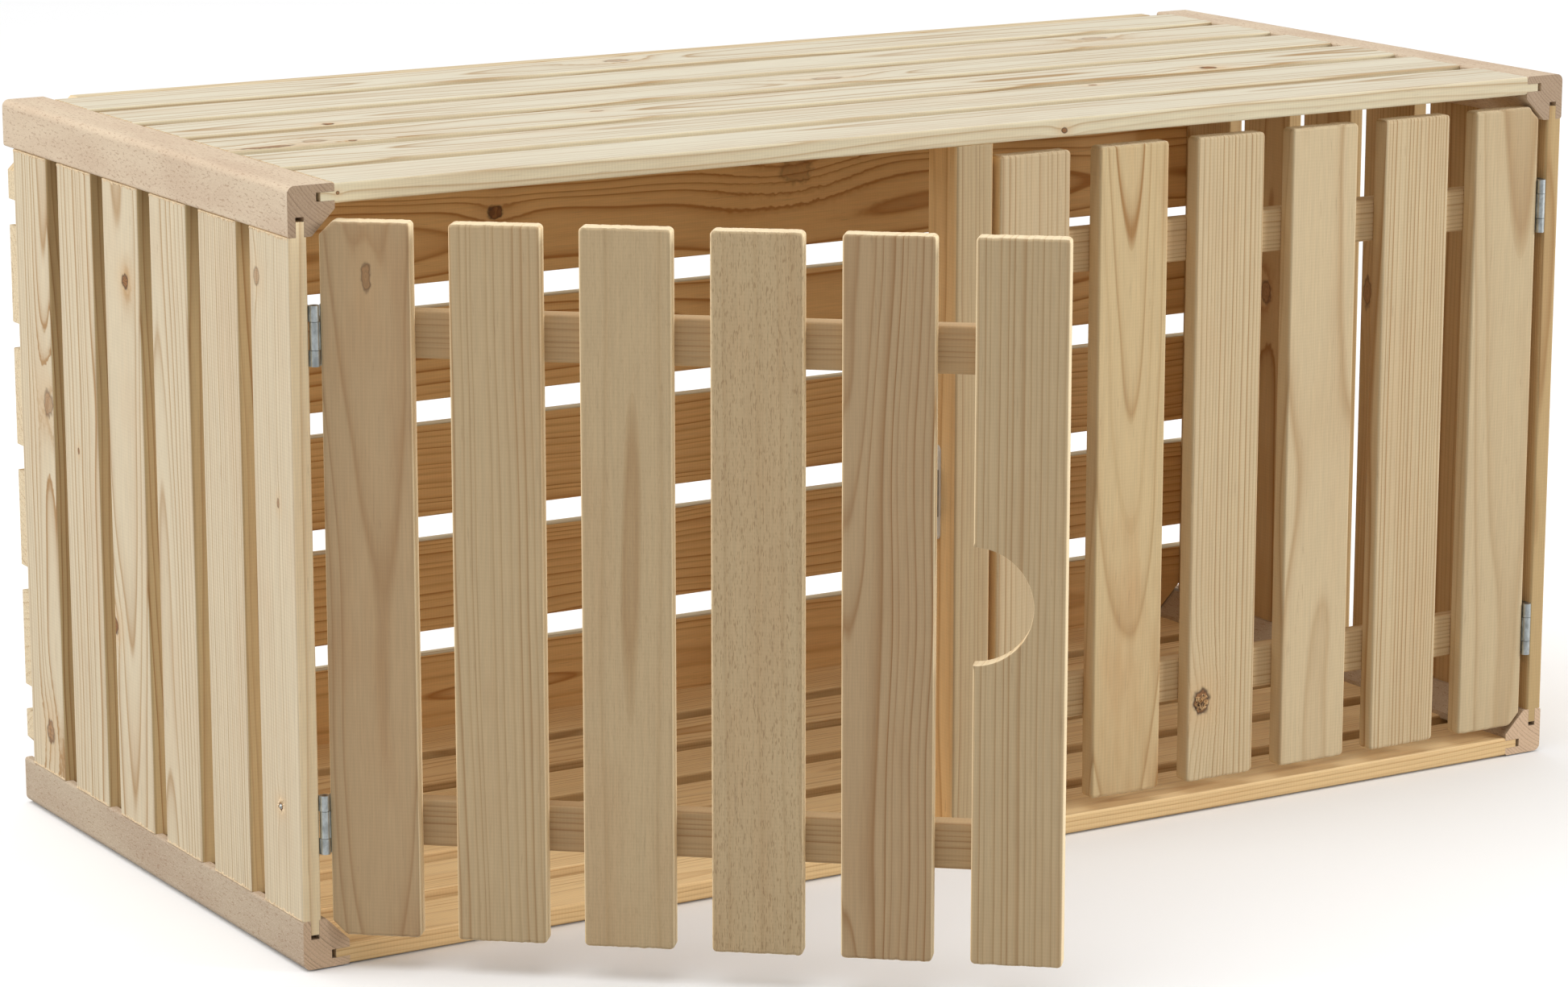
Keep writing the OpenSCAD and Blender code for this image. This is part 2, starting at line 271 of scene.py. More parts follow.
def new_group(name, inputs, outputs):
    """An empty node group. Inputs are name: default, where a tuple of 3 is a vector."""
    tree = bpy.data.node_groups.new(name, "ShaderNodeTree")
    for key, default in inputs.items():
        kind = "NodeSocketVector" if isinstance(default, tuple) else "NodeSocketFloat"
        made = tree.interface.new_socket(key, in_out="INPUT", socket_type=kind)
        made.default_value = default
    for key in outputs:
        tree.interface.new_socket(key, in_out="OUTPUT", socket_type="NodeSocketFloat")
    wiring = Wiring(tree)
    return tree, wiring, wiring.add("NodeGroupInput").outputs, wiring.add("NodeGroupOutput").inputs


print("node helper ready")

# %% [markdown]
# Softwood is a stack of cones, one per year: pale early wood that darkens into a thin late band.
# A board is a plane cut through them. So the pattern is worked out from the place of each point in
# its log, from the pith outwards, and straight stripes, arches and end-grain arcs all follow from
# how the board was cut. That is why the groups below take board coordinates: X across the board,
# Y out of its face and Z along the grain, in metres.

# %% Group: growth rings
# Darkness through one year, from early wood at 0 to the late band at 1.
RING_CURVE = [(0.0, 0.16), (0.08, 0.0), (0.5, 0.05), (0.76, 0.34), (0.92, 1.0), (1.0, 0.25)]
# Noise is given in cells per metre: across the board, out of its face, and along the grain.
SWAY_CELLS = (11.0, 11.0, 3.2)
GOOD_YEARS_CELLS = 90.0  # how often wide years turn to narrow ones, outwards from the pith
GOOD_YEARS = 2.6  # how many years a run of wide ones can shift the count
PALEST_YEAR = 0.35  # darkness of the weakest late band, where the strongest has 1


def growth_rings():
    tree, w, given, result = new_group(
        "growth rings",
        {
            "Board": (0.0, 0.0, 0.0),
            "Pith Across": 0.0,
            "Pith Depth": -0.04,
            "Lean": 0.0,
            "Ring Width": 0.003,
            "Wobble": 0.004,
            "Lift": 0.0,
            "Seed": 0.0,
        },
        ["Late"],
    )
    x, y, z = w.apart(given["Board"])[:3]
    seeded = w.vector("ADD", given["Board"], w.together(given["Seed"], 0.0, given["Seed"]))
    slow = w.noise(w.stretch(seeded, SWAY_CELLS), detail=1.5, out="Color")
    sway = w.vector("SUBTRACT", slow, (0.5, 0.5, 0.5))
    reach = w.together(given["Wobble"], given["Wobble"], 0.0)
    swing_x, swing_y = w.apart(w.vector("MULTIPLY", sway, reach))[:2]
    across = w.math("ADD", w.math("SUBTRACT", x, given["Pith Across"]), swing_x)
    rise = w.math("MULTIPLY", z, given["Lean"])
    depth = w.math("SUBTRACT", w.math("SUBTRACT", y, given["Pith Depth"]), rise)
    depth = w.math("ADD", depth, swing_y)
    radius = w.vector("LENGTH", w.together(across, depth, 0.0))
    run = w.together(w.math("MULTIPLY", radius, GOOD_YEARS_CELLS), given["Seed"], 0.0)
    uneven = w.noise(run, detail=1.0)
    year = w.math("MULTIPLY_ADD", uneven, GOOD_YEARS, w.math("DIVIDE", radius, given["Ring Width"]))
    year = w.math("ADD", year, given["Lift"])
    number = w.math("ADD", w.math("FLOOR", year), given["Seed"])
    chance = w.add("ShaderNodeTexWhiteNoise", {"W": number}, noise_dimensions="1D").outputs["Value"]
    vigour = w.math("MULTIPLY_ADD", chance, 1 - PALEST_YEAR, PALEST_YEAR)
    late = w.ramp(w.math("FRACT", year), RING_CURVE)
    w.feed(result["Late"], w.math("MULTIPLY", late, vigour))
    return tree


RINGS = growth_rings()
print("group", RINGS.name)

# %% [markdown]
# A knot is a branch cut through. Its own rings show inside a dark rim, and the trunk's rings swing
# round it. The group gives the masks, and a lift in rings that the ring group adds to its count, so
# the lines of the board bend round the knot by themselves.

# %% Group: knot
RAGGED_CELLS = (260.0, 260.0, 200.0)
RAGGED = 0.9  # how far the outline strays, in knot radii
RIM_WIDTH = 0.2  # in knot radii
HALO_FALL = -0.12  # how fast the warm halo fades with the square of the distance
BEND_ACROSS, BEND_ALONG = -0.16, -0.04  # how fast the bent lines calm down, likewise
BRANCH_RINGS = 15.0  # radians of the branch's own rings in one knot radius


def knot_group():
    tree, w, given, result = new_group(
        "knot",
        {
            "Board": (0.0, 0.0, 0.0),
            "Across": 0.0,
            "Along": 0.0,
            "Radius": 0.004,
            "Stretch": 1.3,
            "Swirl": 2.5,
        },
        ["Core", "Rim", "Halo", "Lift", "Rings"],
    )
    x, _, z = w.apart(given["Board"])[:3]
    ragged = w.noise(w.stretch(given["Board"], RAGGED_CELLS), detail=1.0, out="Color")
    ragged = w.apart(w.vector("SUBTRACT", ragged, (0.5, 0.5, 0.5)))
    side = w.math("DIVIDE", w.math("SUBTRACT", x, given["Across"]), given["Radius"])
    side = w.math("MULTIPLY_ADD", ragged[0], RAGGED, side)
    half_length = w.math("MULTIPLY", given["Radius"], given["Stretch"])
    tall = w.math("DIVIDE", w.math("SUBTRACT", z, given["Along"]), half_length)
    tall = w.math("MULTIPLY_ADD", ragged[2], RAGGED, tall)
    far = w.vector("LENGTH", w.together(side, tall, 0.0))
    from_rim = w.math("DIVIDE", w.math("SUBTRACT", far, 1.0), RIM_WIDTH)
    rim = w.math("MULTIPLY", w.math("MULTIPLY", from_rim, from_rim), -1.0)
    halo = w.math("MULTIPLY", w.math("MULTIPLY", far, far), HALO_FALL)
    wide = w.math("MULTIPLY", w.math("MULTIPLY", side, side), BEND_ACROSS)
    long = w.math("MULTIPLY_ADD", w.math("MULTIPLY", tall, tall), BEND_ALONG, wide)
    wave = w.math("SINE", w.math("MULTIPLY", far, BRANCH_RINGS))
    w.feed(result["Core"], w.step(far, 0.85, 1.1, 1.0, 0.0))
    w.feed(result["Rim"], w.math("EXPONENT", rim))
    w.feed(result["Halo"], w.math("EXPONENT", halo))
    w.feed(result["Lift"], w.math("MULTIPLY", w.math("EXPONENT", long), given["Swirl"]))
    w.feed(result["Rings"], w.math("MULTIPLY_ADD", wave, 0.5, 0.5))
    return tree


KNOT = knot_group()
print("group", KNOT.name)

# %% [markdown]
# Close up, a planed face is a bundle of fibres. One stretched noise gives the fine streaks, a
# second, cut off high, gives the short dark resin ducts, and a faint regular ripple across the
# grain is what the planer's knives leave.

# %% Group: fibres
STREAK_CELLS = (1300.0, 1300.0, 32.0)
DUCT_CELLS = (700.0, 700.0, 45.0)
CLOUD_CELLS = (24.0, 24.0, 6.0)
SHAKE_CELLS = (60.0, 60.0, 60.0)
KNIFE_MARKS = 0.0023  # metres from one planer mark to the next
KNIFE_SHAKE = 5.0  # how far the marks wander, in radians


def fibres():
    tree, w, given, result = new_group(
        "fibres", {"Board": (0.0, 0.0, 0.0), "Seed": 0.0}, ["Streak", "Duct", "Cloud", "Ripple"]
    )
    seeded = w.vector("ADD", given["Board"], w.together(0.0, given["Seed"], given["Seed"]))
    duct = w.noise(w.stretch(seeded, DUCT_CELLS), detail=1.0)
    shake = w.math("MULTIPLY", w.noise(w.stretch(seeded, SHAKE_CELLS), detail=1.0), KNIFE_SHAKE)
    turn = w.math("MULTIPLY_ADD", w.apart(seeded)[2], 2 * math.pi / KNIFE_MARKS, shake)
    streak = w.noise(w.stretch(seeded, STREAK_CELLS), detail=3.0, roughness=0.6)
    cloud = w.noise(w.stretch(seeded, CLOUD_CELLS), detail=3.0, roughness=0.6)
    w.feed(result["Streak"], streak)
    w.feed(result["Duct"], w.step(duct, 0.7, 0.78))
    w.feed(result["Cloud"], cloud)
    w.feed(result["Ripple"], w.math("SINE", turn))
    return tree


FIBRES = fibres()
print("group", FIBRES.name)

# %% [markdown]
# A pattern on a board has to know where the board is and which way its grain runs. The table gives
# three directions for each kind of board, and a Mapping node turns Object coordinates into them.

# %% Boards and their directions
left_joint = next(j for j in frame["joints"] if j["child"] == "left_door")
OPEN_ANGLE = -math.radians(left_joint["range_deg"][0])
X, Y, Z = Vector((1, 0, 0)), Vector((0, 1, 0)), Vector((0, 0, 1))
DOOR_ACROSS = Vector((math.cos(OPEN_ANGLE), -math.sin(OPEN_ANGLE), 0))
DOOR_OUT = Vector((-math.sin(OPEN_ANGLE), -math.cos(OPEN_ANGLE), 0))

# Across, out of the face, and along the grain, for each kind of board.
DIRECTIONS = {
    "rail": (X, Z, Y),
    "top_slat": (Y, Z, X),
    "floor_slat": (Y, -Z, X),
    "left_slat": (Y, -X, Z),
    "right_slat": (Y, X, Z),
    "back_slat": (Z, Y, X),
    "left_door_slat": (DOOR_ACROSS, DOOR_OUT, Z),
    "right_door_slat": (X, -Y, Z),
    "left_door_battens": (Z, DOOR_OUT, DOOR_ACROSS),
    "right_door_battens": (Z, -Y, X),
    "centre_post": (X, -Y, Z),
}


def kind_of(node):
    """The board kind whose name the node's name starts with."""
    return max((kind for kind in DIRECTIONS if node.startswith(kind)), key=len)


def board_place(node):
    """Rotation and shift that turn object coordinates into the board's own, centred on the board.

    A rotation can't mirror, so where the three directions are a left-handed set, Y is turned round
    and the last value is -1 instead of 1."""
    across, out, along = DIRECTIONS[kind_of(node)]
    side = 1 if along.cross(across).dot(out) > 0 else -1
    turn = Matrix((across, side * out, along))
    low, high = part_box(node)
    return turn, -(turn @ ((low + high) / 2)), side


def board_coordinates(w, node):
    """Board coordinates, and three masks: the sawn ends, the long edges, and the outer face."""
    turn, shift, side = board_place(node)
    source = w.add("ShaderNodeTexCoord").outputs
    angles = turn.to_euler("XYZ")
    wires = {"Vector": source["Object"], "Location": shift, "Rotation": angles}
    place = w.add("ShaderNodeMapping", wires)
    wires = {"Vector": source["Normal"], "Rotation": angles}
    facing = w.add("ShaderNodeMapping", wires, vector_type="NORMAL")
    aside, outward, along = w.apart(facing.outputs[0])[:3]
    end = w.step(w.math("ABSOLUTE", along), 0.6, 0.9)
    edge = w.step(w.math("ABSOLUTE", aside), 0.5, 0.8)
    face = w.step(w.math("MULTIPLY", outward, side), 0.2, 0.7)
    return w.vector("MULTIPLY", place.outputs[0], (1, side, 1)), end, edge, face


print("open angle", round(math.degrees(OPEN_ANGLE), 1))

# %% [markdown]
# Each board gets its own copy of the softwood material, because each came from another place in another
# log, and each face is lit in its own way. What differs is set on the groups: where the pith was, how
# the log leaned, how wide the rings are, the board's knots, and its tints, which are painted light and
# shade. The colour is laid on from the widest pattern to the finest: warm clouds, late wood, the tints
# of painted light and shade, resin ducts, fibres, knots, and the torn ends last.

# %% Softwood colours and knots
EARLY = (0.78, 0.575, 0.315, 1)
LATE = (0.47, 0.245, 0.085, 1)
WARM = (0.70, 0.44, 0.215, 1)
KNOT_WOOD = (0.36, 0.165, 0.06, 1)
KNOT_RIM = (0.07, 0.035, 0.018, 1)
DUCT = (0.36, 0.22, 0.12, 1)
RAY = (0.33, 0.19, 0.09, 1)
TORN = (0.86, 0.70, 0.47, 1)
BARE_WOOD_SPECULAR = 0.3  # unvarnished wood hardly shines, even seen along its face
SWIRL = 0.9  # years that the rings swing round a knot, for each ring width in its radius
NEUTRAL = (1, 1, 1)


def scaled(colour, *tints):
    """A colour with each channel multiplied by those of the tints."""
    for tint in tints:
        colour = [c * t for c, t in zip(colour, tint)]
    return tuple(colour[:3]) + (1,)


def knots_of(w, board, edge, knots, edge_knots, ring):
    """The marks of all the knots of a board, each the strongest of the single knots' marks."""
    x, y, z = w.apart(board)[:3]
    placed = [(board, w.math("SUBTRACT", 1.0, edge), spot) for spot in knots]
    placed += [(w.together(y, x, z), edge, spot) for spot in edge_knots]
    marks = {"Lift": 0.0, "Core": 0.0, "Rim": 0.0, "Halo": 0.0, "Rings": 0.5}
    for seat, shown, (across, along, radius, stretch, dark) in placed:
        found = w.group(KNOT, {
            "Board": seat, "Across": across * MM, "Along": along * MM, "Radius": radius * MM,
            "Stretch": stretch, "Swirl": SWIRL * radius / ring,
        })
        share = w.math("MULTIPLY", shown, dark)
        for key in ("Core", "Rim", "Halo"):
            marks[key] = w.math("MAXIMUM", marks[key], w.math("MULTIPLY", found[key], share))
        marks["Lift"] = w.math("MULTIPLY_ADD", found["Lift"], shown, marks["Lift"])
        marks["Rings"] = found["Rings"]
    return marks


print("late wood", LATE[:3], "on early wood", EARLY[:3])

# %% Softwood material
RAY_CELLS = (1500.0, 1500.0, 230.0)
SAWN_CELLS = (900.0, 900.0, 900.0)
HALO_SHARE, RIM_SHARE = 0.45, 0.75
HEART = (0.6, 0.6, 0.6)  # the dark half of a knot's own rings
RIPPLE_SHADE = 0.012
STREAK_HEIGHT, LATE_HEIGHT, RIPPLE_HEIGHT, SAWN_HEIGHT, RIM_HEIGHT = 0.5, 0.35, 0.05, 2.5, 1.2
GRAIN_DEPTH = 0.0004  # metres for a height of 1


def softwood(
    node, seed, pith=(0.0, -30.0), lean=0.0, ring=3.0, wobble=5.0, contrast=0.75, tint=NEUTRAL,
    inner=NEUTRAL, edges=NEUTRAL, warmth=0.3, flecks=0.25, rays=0.0, knots=(), edge_knots=(),
):
    """The material of one board. Pith, ring, wobble and knots are in millimetres on the board.

    Each knot is (across, along, radius, stretch, darkness), and each edge knot has its depth in the
    board instead of its place across it. Tint is for the planed outer face, inner for the face behind
    it, and edges for the long edges and ends."""
    material, w, shader = new_material("softwood " + node)
    board, end, edge, outward = board_coordinates(w, node)
    fibre = w.group(FIBRES, {"Board": board, "Seed": seed})
    marks = knots_of(w, board, edge, knots, edge_knots, ring)
    rings = w.group(RINGS, {
        "Board": board, "Pith Across": pith[0] * MM, "Pith Depth": pith[1] * MM, "Lean": lean,
        "Ring Width": ring * MM, "Wobble": wobble * MM, "Lift": marks["Lift"], "Seed": seed,
    })
    late = w.math("MULTIPLY", rings["Late"], contrast)
    cloud = w.math("MULTIPLY", w.step(fibre["Cloud"], 0.45, 0.75), warmth)
    base = w.mix(late, w.mix(cloud, EARLY, WARM), LATE)
    # Painted light and shade: the outer face, the inner face, and the edges and ends each take the tint
    # of how they are lit.
    face_tint = w.mix(outward, scaled(inner), scaled(tint))
    face_tint = w.mix(w.math("MAXIMUM", edge, end), face_tint, scaled(edges))
    base = w.mix(1.0, base, face_tint, "MULTIPLY")
    if rays:
        dashes = w.noise(w.stretch(board, RAY_CELLS, (seed, seed, seed)), detail=1.0)
        base = w.mix(w.math("MULTIPLY", w.step(dashes, 0.57, 0.68), rays), base, RAY)
    base = w.mix(w.math("MULTIPLY", fibre["Duct"], flecks), base, DUCT)
    streak = w.step(fibre["Streak"], 0.3, 0.7, 0.94, 1.05)
    streak = w.math("MULTIPLY_ADD", fibre["Ripple"], RIPPLE_SHADE, streak)
    base = w.mix(1.0, base, w.together(streak, streak, streak), "MULTIPLY")
    height = w.math("MULTIPLY", late, LATE_HEIGHT)
    height = w.math("MULTIPLY_ADD", fibre["Streak"], STREAK_HEIGHT, height)
    height = w.math("MULTIPLY_ADD", fibre["Ripple"], RIPPLE_HEIGHT, height)
    sawn = w.noise(w.stretch(board, SAWN_CELLS), detail=2.0)
    height = w.math("MULTIPLY_ADD", w.math("MULTIPLY", end, sawn), SAWN_HEIGHT, height)
    if knots or edge_knots:
        base = w.mix(w.math("MULTIPLY", marks["Halo"], HALO_SHARE), base, WARM)
        base = w.mix(marks["Core"], base, w.mix(marks["Rings"], KNOT_WOOD, scaled(KNOT_WOOD, HEART)))
        base = w.mix(w.math("MULTIPLY", marks["Rim"], RIM_SHARE), base, KNOT_RIM)
        height = w.math("SUBTRACT", height, w.math("MULTIPLY", marks["Rim"], RIM_HEIGHT))
    pale = w.math("MULTIPLY", end, w.step(sawn, 0.35, 0.6, 0.2, 0.75))
    w.feed(shader.inputs["Base Color"], w.mix(pale, base, TORN))
    w.feed(shader.inputs["Roughness"], w.step(fibre["Streak"], 0.2, 0.8, 0.6, 0.76))
    shader.inputs["Specular IOR Level"].default_value = BARE_WOOD_SPECULAR
    w.relief(shader, height, strength=0.5, distance=GRAIN_DEPTH)
    return material


def dress(node, material):
    """Gives a CAD node one material in every slot."""
    target = nodes[node].data.materials
    target.clear()
    target.append(material)


print("softwood ready")

# %% [markdown]
# The table below is how each board was cut. Flat-sawn boards (pith under the face) show arches,
# quartered ones (pith far to one side) show straight lines. Where nothing is said, a board takes
# its cut from a seeded draw.

# %% How the boards were cut
CUTS = {
    "left_door_slat_1": dict(pith=(4, -46), lean=0.030, ring=6.0, wobble=16, contrast=0.55, warmth=0.5,
                             knots=[(1, 193, 2.8, 3.0, 0.6)],
                             tint=(0.73, 0.69, 0.70)),
    "left_door_slat_2": dict(pith=(-120, -30), lean=-0.02, ring=5.2, wobble=14, contrast=0.7),
    "left_door_slat_3": dict(pith=(3, -30), lean=0.002, ring=5.5, wobble=9, contrast=0.55, rays=0.12),
    "left_door_slat_4": dict(pith=(60, -90), lean=0.01, ring=7, wobble=8, contrast=0.3, rays=0.5),
    "left_door_slat_5": dict(pith=(-26, -18), lean=0.022, ring=4.2, wobble=22, contrast=1.0,
                             tint=(0.72, 0.68, 0.695)),
    "left_door_slat_6": dict(pith=(-90, -8), lean=0.006, ring=4.4, wobble=5, contrast=0.9),
    "right_door_slat_6": dict(pith=(90, -12), ring=4.8, wobble=6, contrast=0.9,
                              tint=(0.82, 0.85, 0.92)),
    "right_door_slat_5": dict(pith=(-4, -17), lean=0.07, ring=9.0, wobble=24, contrast=1.3, warmth=1.0,
                              tint=(0.87, 0.885, 0.87)),
    "right_door_slat_4": dict(pith=(66, -6), lean=0.0, ring=3.3, wobble=4, contrast=1.2,
                              knots=[(-17, -170, 6.5, 1.2, 1.0)]),
    "right_door_slat_3": dict(pith=(-2, -50), lean=0.004, ring=14.0, wobble=40, contrast=0.6,
                              warmth=0.15),
    "right_door_slat_2": dict(pith=(-70, -6), ring=3.2, wobble=5, contrast=1.15),
    "right_door_slat_1": dict(pith=(12, -60), lean=0.02, ring=6.0, wobble=10, contrast=0.7,
                              tint=(0.82, 0.86, 0.93)),
    # The edges of this slat are lightened: painted light on its front edge, where the lamp at the right
    # front falls.
    "left_slat_1": dict(pith=(-60, -20), ring=3.0, wobble=5, contrast=0.9, edges=(1.21, 1.31, 1.50),
                        knots=[(18, 187, 3.6, 1.4, 0.5), (-6, 48, 1.4, 2.0, 0.7),
                               (0, -148, 2.7, 1.1, 1.0)]),
    "left_slat_2": dict(pith=(-70, -20), ring=2.8, wobble=6, contrast=1.1),
    "left_slat_3": dict(pith=(20, -34), lean=-0.02, ring=3.4, wobble=10, contrast=1.1),
    "left_slat_5": dict(pith=(-30, -24), lean=0.01, ring=3.6, wobble=14, contrast=1.2,
                        knots=[(5, 24, 1.2, 1.8, 0.9)]),
    "left_slat_4": dict(pith=(6, -40), lean=0.03, ring=5.0, wobble=12, contrast=1.0,
                        knots=[(-6, 153, 4.2, 1.1, 1.0), (27, -86, 4.5, 1.2, 1.0)]),
    "left_slat_6": dict(pith=(-20, -22), lean=0.012, ring=3.2, wobble=16, contrast=1.3,
                        knots=[(-5, -187, 6, 1.3, 0.7), (-20, 48, 6.5, 1.3, 0.55)]),
    "right_slat_5": dict(pith=(-8, -30), ring=3.6, wobble=12, contrast=1.1,
                         knots=[(-5, 43, 6, 1.3, 0.7)]),
    "right_slat_3": dict(pith=(30, -20), ring=3.4, wobble=14, contrast=1.1,
                         knots=[(20, 62, 4.5, 2.2, 0.65)]),
    "top_slat_1": dict(pith=(14, -26), lean=0.004, ring=3.5, wobble=9, contrast=0.8,
                       edge_knots=[(-2, 71, 2.0, 1.1, 1.0), (0, -466, 1.0, 1.1, 0.9)]),
    "top_slat_2": dict(pith=(10, -30), lean=0.008, ring=3.2, wobble=10, contrast=1.3,
                       knots=[(20, 180, 2.0, 1.8, 0.9)]),
    "top_slat_3": dict(pith=(0, -34), lean=0.010, ring=3.6, wobble=12, contrast=1.3,
                       knots=[(-22, 304, 4.6, 1.3, 1.0), (10, -180, 2.2, 2.2, 0.5),
                              (-25, -440, 2.4, 7.5, 0.8), (-16, -403, 5, 1.5, 0.4),
                              (-26, -380, 1.8, 1.6, 0.8)]),
    "top_slat_4": dict(pith=(-8, -30), lean=0.006, ring=3.4, wobble=14, contrast=1.3,
                       knots=[(-26, -361, 2.2, 1.7, 1.0), (-4, 40, 5, 2.2, 0.4)]),
    "top_slat_5": dict(pith=(5, -36), lean=0.010, ring=4.0, wobble=14, contrast=1.2,
                       knots=[(8, 330, 6, 1.8, 0.4)]),
    "top_slat_6": dict(pith=(0, -30), lean=0.009, ring=3.8, wobble=16, contrast=1.2,
                       knots=[(6, -40, 6, 1.6, 0.5)]),
    # The inner face of this slat is lightened: painted light inside the shaded hutch.
    "back_slat_6": dict(pith=(-20, 30), lean=0.01, ring=4.5, wobble=20, contrast=1.1,
                        inner=(1.27, 1.16, 0.92),
                        knots=[(14, 260, 5, 1.3, 0.9), (-6, -290, 5, 1.3, 1.0)]),
    "back_slat_5": dict(pith=(-8, 34), lean=0.012, ring=5.0, wobble=26, contrast=1.4,
                        knots=[(13, -129, 4.5, 1.2, 1.0), (24, 127, 9, 1.4, 0.35)]),
}
print("cuts given for", len(CUTS), "boards")

# %% [markdown]
# Each kind of board has three tints. They are mostly painted light and shade, with a little of the
# wood's own paler tone: faces that the lamps light well are paler, the tops carry a painted sheen, the
# long edges of the open door carry a painted highlight, faces and gaps in shade are darker, and the
# inside of the hutch is lightened against its shade.

# %% Tints, and a material for every softwood board
# Outer face, inner face, then edges and ends.
# Painted light and shade, for each face of each kind of board.
LIGHT_AND_SHADE_TINTS = {
    "top_slat": ((0.89, 1.10, 1.56), (1.0, 1.19, 1.50), (1.0, 1.19, 1.50)),
    "left_slat": ((0.90, 1.03, 1.32), (0.74, 0.73, 0.68), (0.70, 0.69, 0.63)),
    "left_door_slat": ((0.82, 0.83, 0.875), (0.98, 1.02, 1.12), (1.25, 1.38, 1.60)),
    "right_door_slat": ((0.88, 0.93, 1.02), (1.0, 1.0, 1.0), (0.84, 0.86, 0.90)),
    "back_slat": ((1.04, 0.98, 0.88), (1.15, 1.05, 0.90), (0.86, 0.96, 1.15)),
    "floor_slat": ((1.12, 1.06, 0.96), (1.26, 1.28, 1.28), (1.12, 1.06, 0.96)),
    "right_slat": ((1.0, 0.97, 0.92), (0.78, 0.73, 0.66), (0.74, 0.69, 0.59)),
    "left_door_battens": ((0.74, 0.71, 0.72), (0.78, 0.76, 0.78), (0.78, 0.76, 0.78)),
    "right_door_battens": ((0.90, 0.88, 0.88), (0.90, 0.88, 0.88), (0.90, 0.88, 0.88)),
    "centre_post": ((0.68, 0.68, 0.69), (1.18, 1.12, 1.04), (1.18, 1.12, 1.04)),
}
SEED_STEP = 3.7  # moves each board on to another part of the noise
cut_draws = np.random.default_rng(11)


def drawn_cut(draws):
    """A cut for a board that has none in the table: half are flat-sawn, half are quartered."""
    flat = draws.random() < 0.5
    side = draws.choice([-1, 1])
    if flat:
        pith = (draws.uniform(-12, 12), -draws.uniform(24, 50))
    else:
        pith = (side * draws.uniform(55, 90), -draws.uniform(4, 20))
    lean = draws.uniform(-0.02, 0.02)
    ring = draws.uniform(2.8, 4.4)
    wobble = draws.uniform(6, 14)
    return dict(pith=pith, lean=lean, ring=ring, wobble=wobble, contrast=draws.uniform(0.7, 1.0))


wooden = [n for n in nodes if "slat" in n or "battens" in n or n == "centre_post"]
board_materials = {}
for number, node in enumerate(sorted(wooden)):
    cut = drawn_cut(cut_draws)
    cut["tint"], cut["inner"], cut["edges"] = LIGHT_AND_SHADE_TINTS[kind_of(node)]
    if kind_of(node) == "back_slat":
        cut.update(contrast=1.3, ring=cut_draws.uniform(4.0, 6.0), wobble=22)
    cut.update(CUTS.get(node, {}))
    board_materials[node] = softwood(node, seed=SEED_STEP * (number + 1), **cut)
    dress(node, board_materials[node])
print(len(board_materials), "boards of softwood")

# %% [markdown]
# The corner rails are beech: denser, pinker, without strong rings but with short dark dashes, the
# rays, in every long face. The sawn ends are darker, with fine arcs and pale grit.

# %% Beech rails
PALE_BEECH, PINK_BEECH = (0.68, 0.54, 0.385), (0.60, 0.45, 0.315)
BEECH_RAY, BEECH_SPECK = (0.34, 0.2, 0.12, 1), (0.86, 0.74, 0.58, 1)
SAWN_EARLY, SAWN_LATE, SAWN_GRIT = (0.48, 0.335, 0.215), (0.25, 0.155, 0.095), (0.62, 0.46, 0.33)
DASH_CELLS = (700.0, 700.0, 230.0)
BLUSH_CELLS = (40.0, 40.0, 9.0)
SPECK_CELLS = (2600.0, 2600.0, 900.0)
GRIT_CELLS = (1500.0, 1500.0, 1500.0)
BEECH_CUT = {"Pith Across": 0.045, "Pith Depth": 0.05, "Ring Width": 0.0022, "Wobble": 0.002}
BEECH_DEPTH = 0.0003  # metres for a height of 1
BEECH_SEED_STEP = 5.3
# The bottom rails' long faces are darkened, painted shade, and their sawn ends lightened, painted
# light.
TOP_TONES, BOTTOM_TONES = (1.0, 0.95), (0.8, 1.5)  # of the long faces, and of the sawn ends


def beech(node, seed, tone, end_tone):
    """The material of one rail. The tones brighten or darken its long faces and its sawn ends."""
    material, w, shader = new_material("beech " + node)
    board, end, _, _ = board_coordinates(w, node)
    seeded = w.vector("ADD", board, (0.0, seed, seed))
    dash = w.step(w.noise(w.stretch(seeded, DASH_CELLS), detail=2.0, roughness=0.6), 0.54, 0.68)
    blush = w.step(w.noise(w.stretch(seeded, BLUSH_CELLS), detail=3.0), 0.35, 0.7)
    speck = w.step(w.noise(w.stretch(seeded, SPECK_CELLS), detail=1.0), 0.5, 0.75)
    tones = (tone, tone, tone)
    base = w.mix(blush, scaled(PALE_BEECH, tones), scaled(PINK_BEECH, tones))
    base = w.mix(w.math("MULTIPLY", dash, 0.5), base, BEECH_RAY)
    base = w.mix(w.math("MULTIPLY", speck, 0.4), base, BEECH_SPECK)
    rings = w.group(RINGS, {"Board": board, "Seed": seed, **BEECH_CUT})
    grit = w.noise(w.stretch(seeded, GRIT_CELLS), detail=2.0)
    end_tones = (end_tone, end_tone, end_tone)
    sawn = w.mix(rings["Late"], scaled(SAWN_EARLY, end_tones), scaled(SAWN_LATE, end_tones))
    sawn = w.mix(w.step(grit, 0.45, 0.7, 0.0, 0.35), sawn, scaled(SAWN_GRIT, end_tones))
    w.feed(shader.inputs["Base Color"], w.mix(end, base, sawn))
    w.feed(shader.inputs["Roughness"], w.step(dash, 0.0, 1.0, 0.58, 0.74))
    shader.inputs["Specular IOR Level"].default_value = BARE_WOOD_SPECULAR
    height = w.math("MULTIPLY_ADD", dash, -0.5, w.math("MULTIPLY", grit, 0.5))
    w.relief(shader, height, strength=0.45, distance=BEECH_DEPTH)
    return material


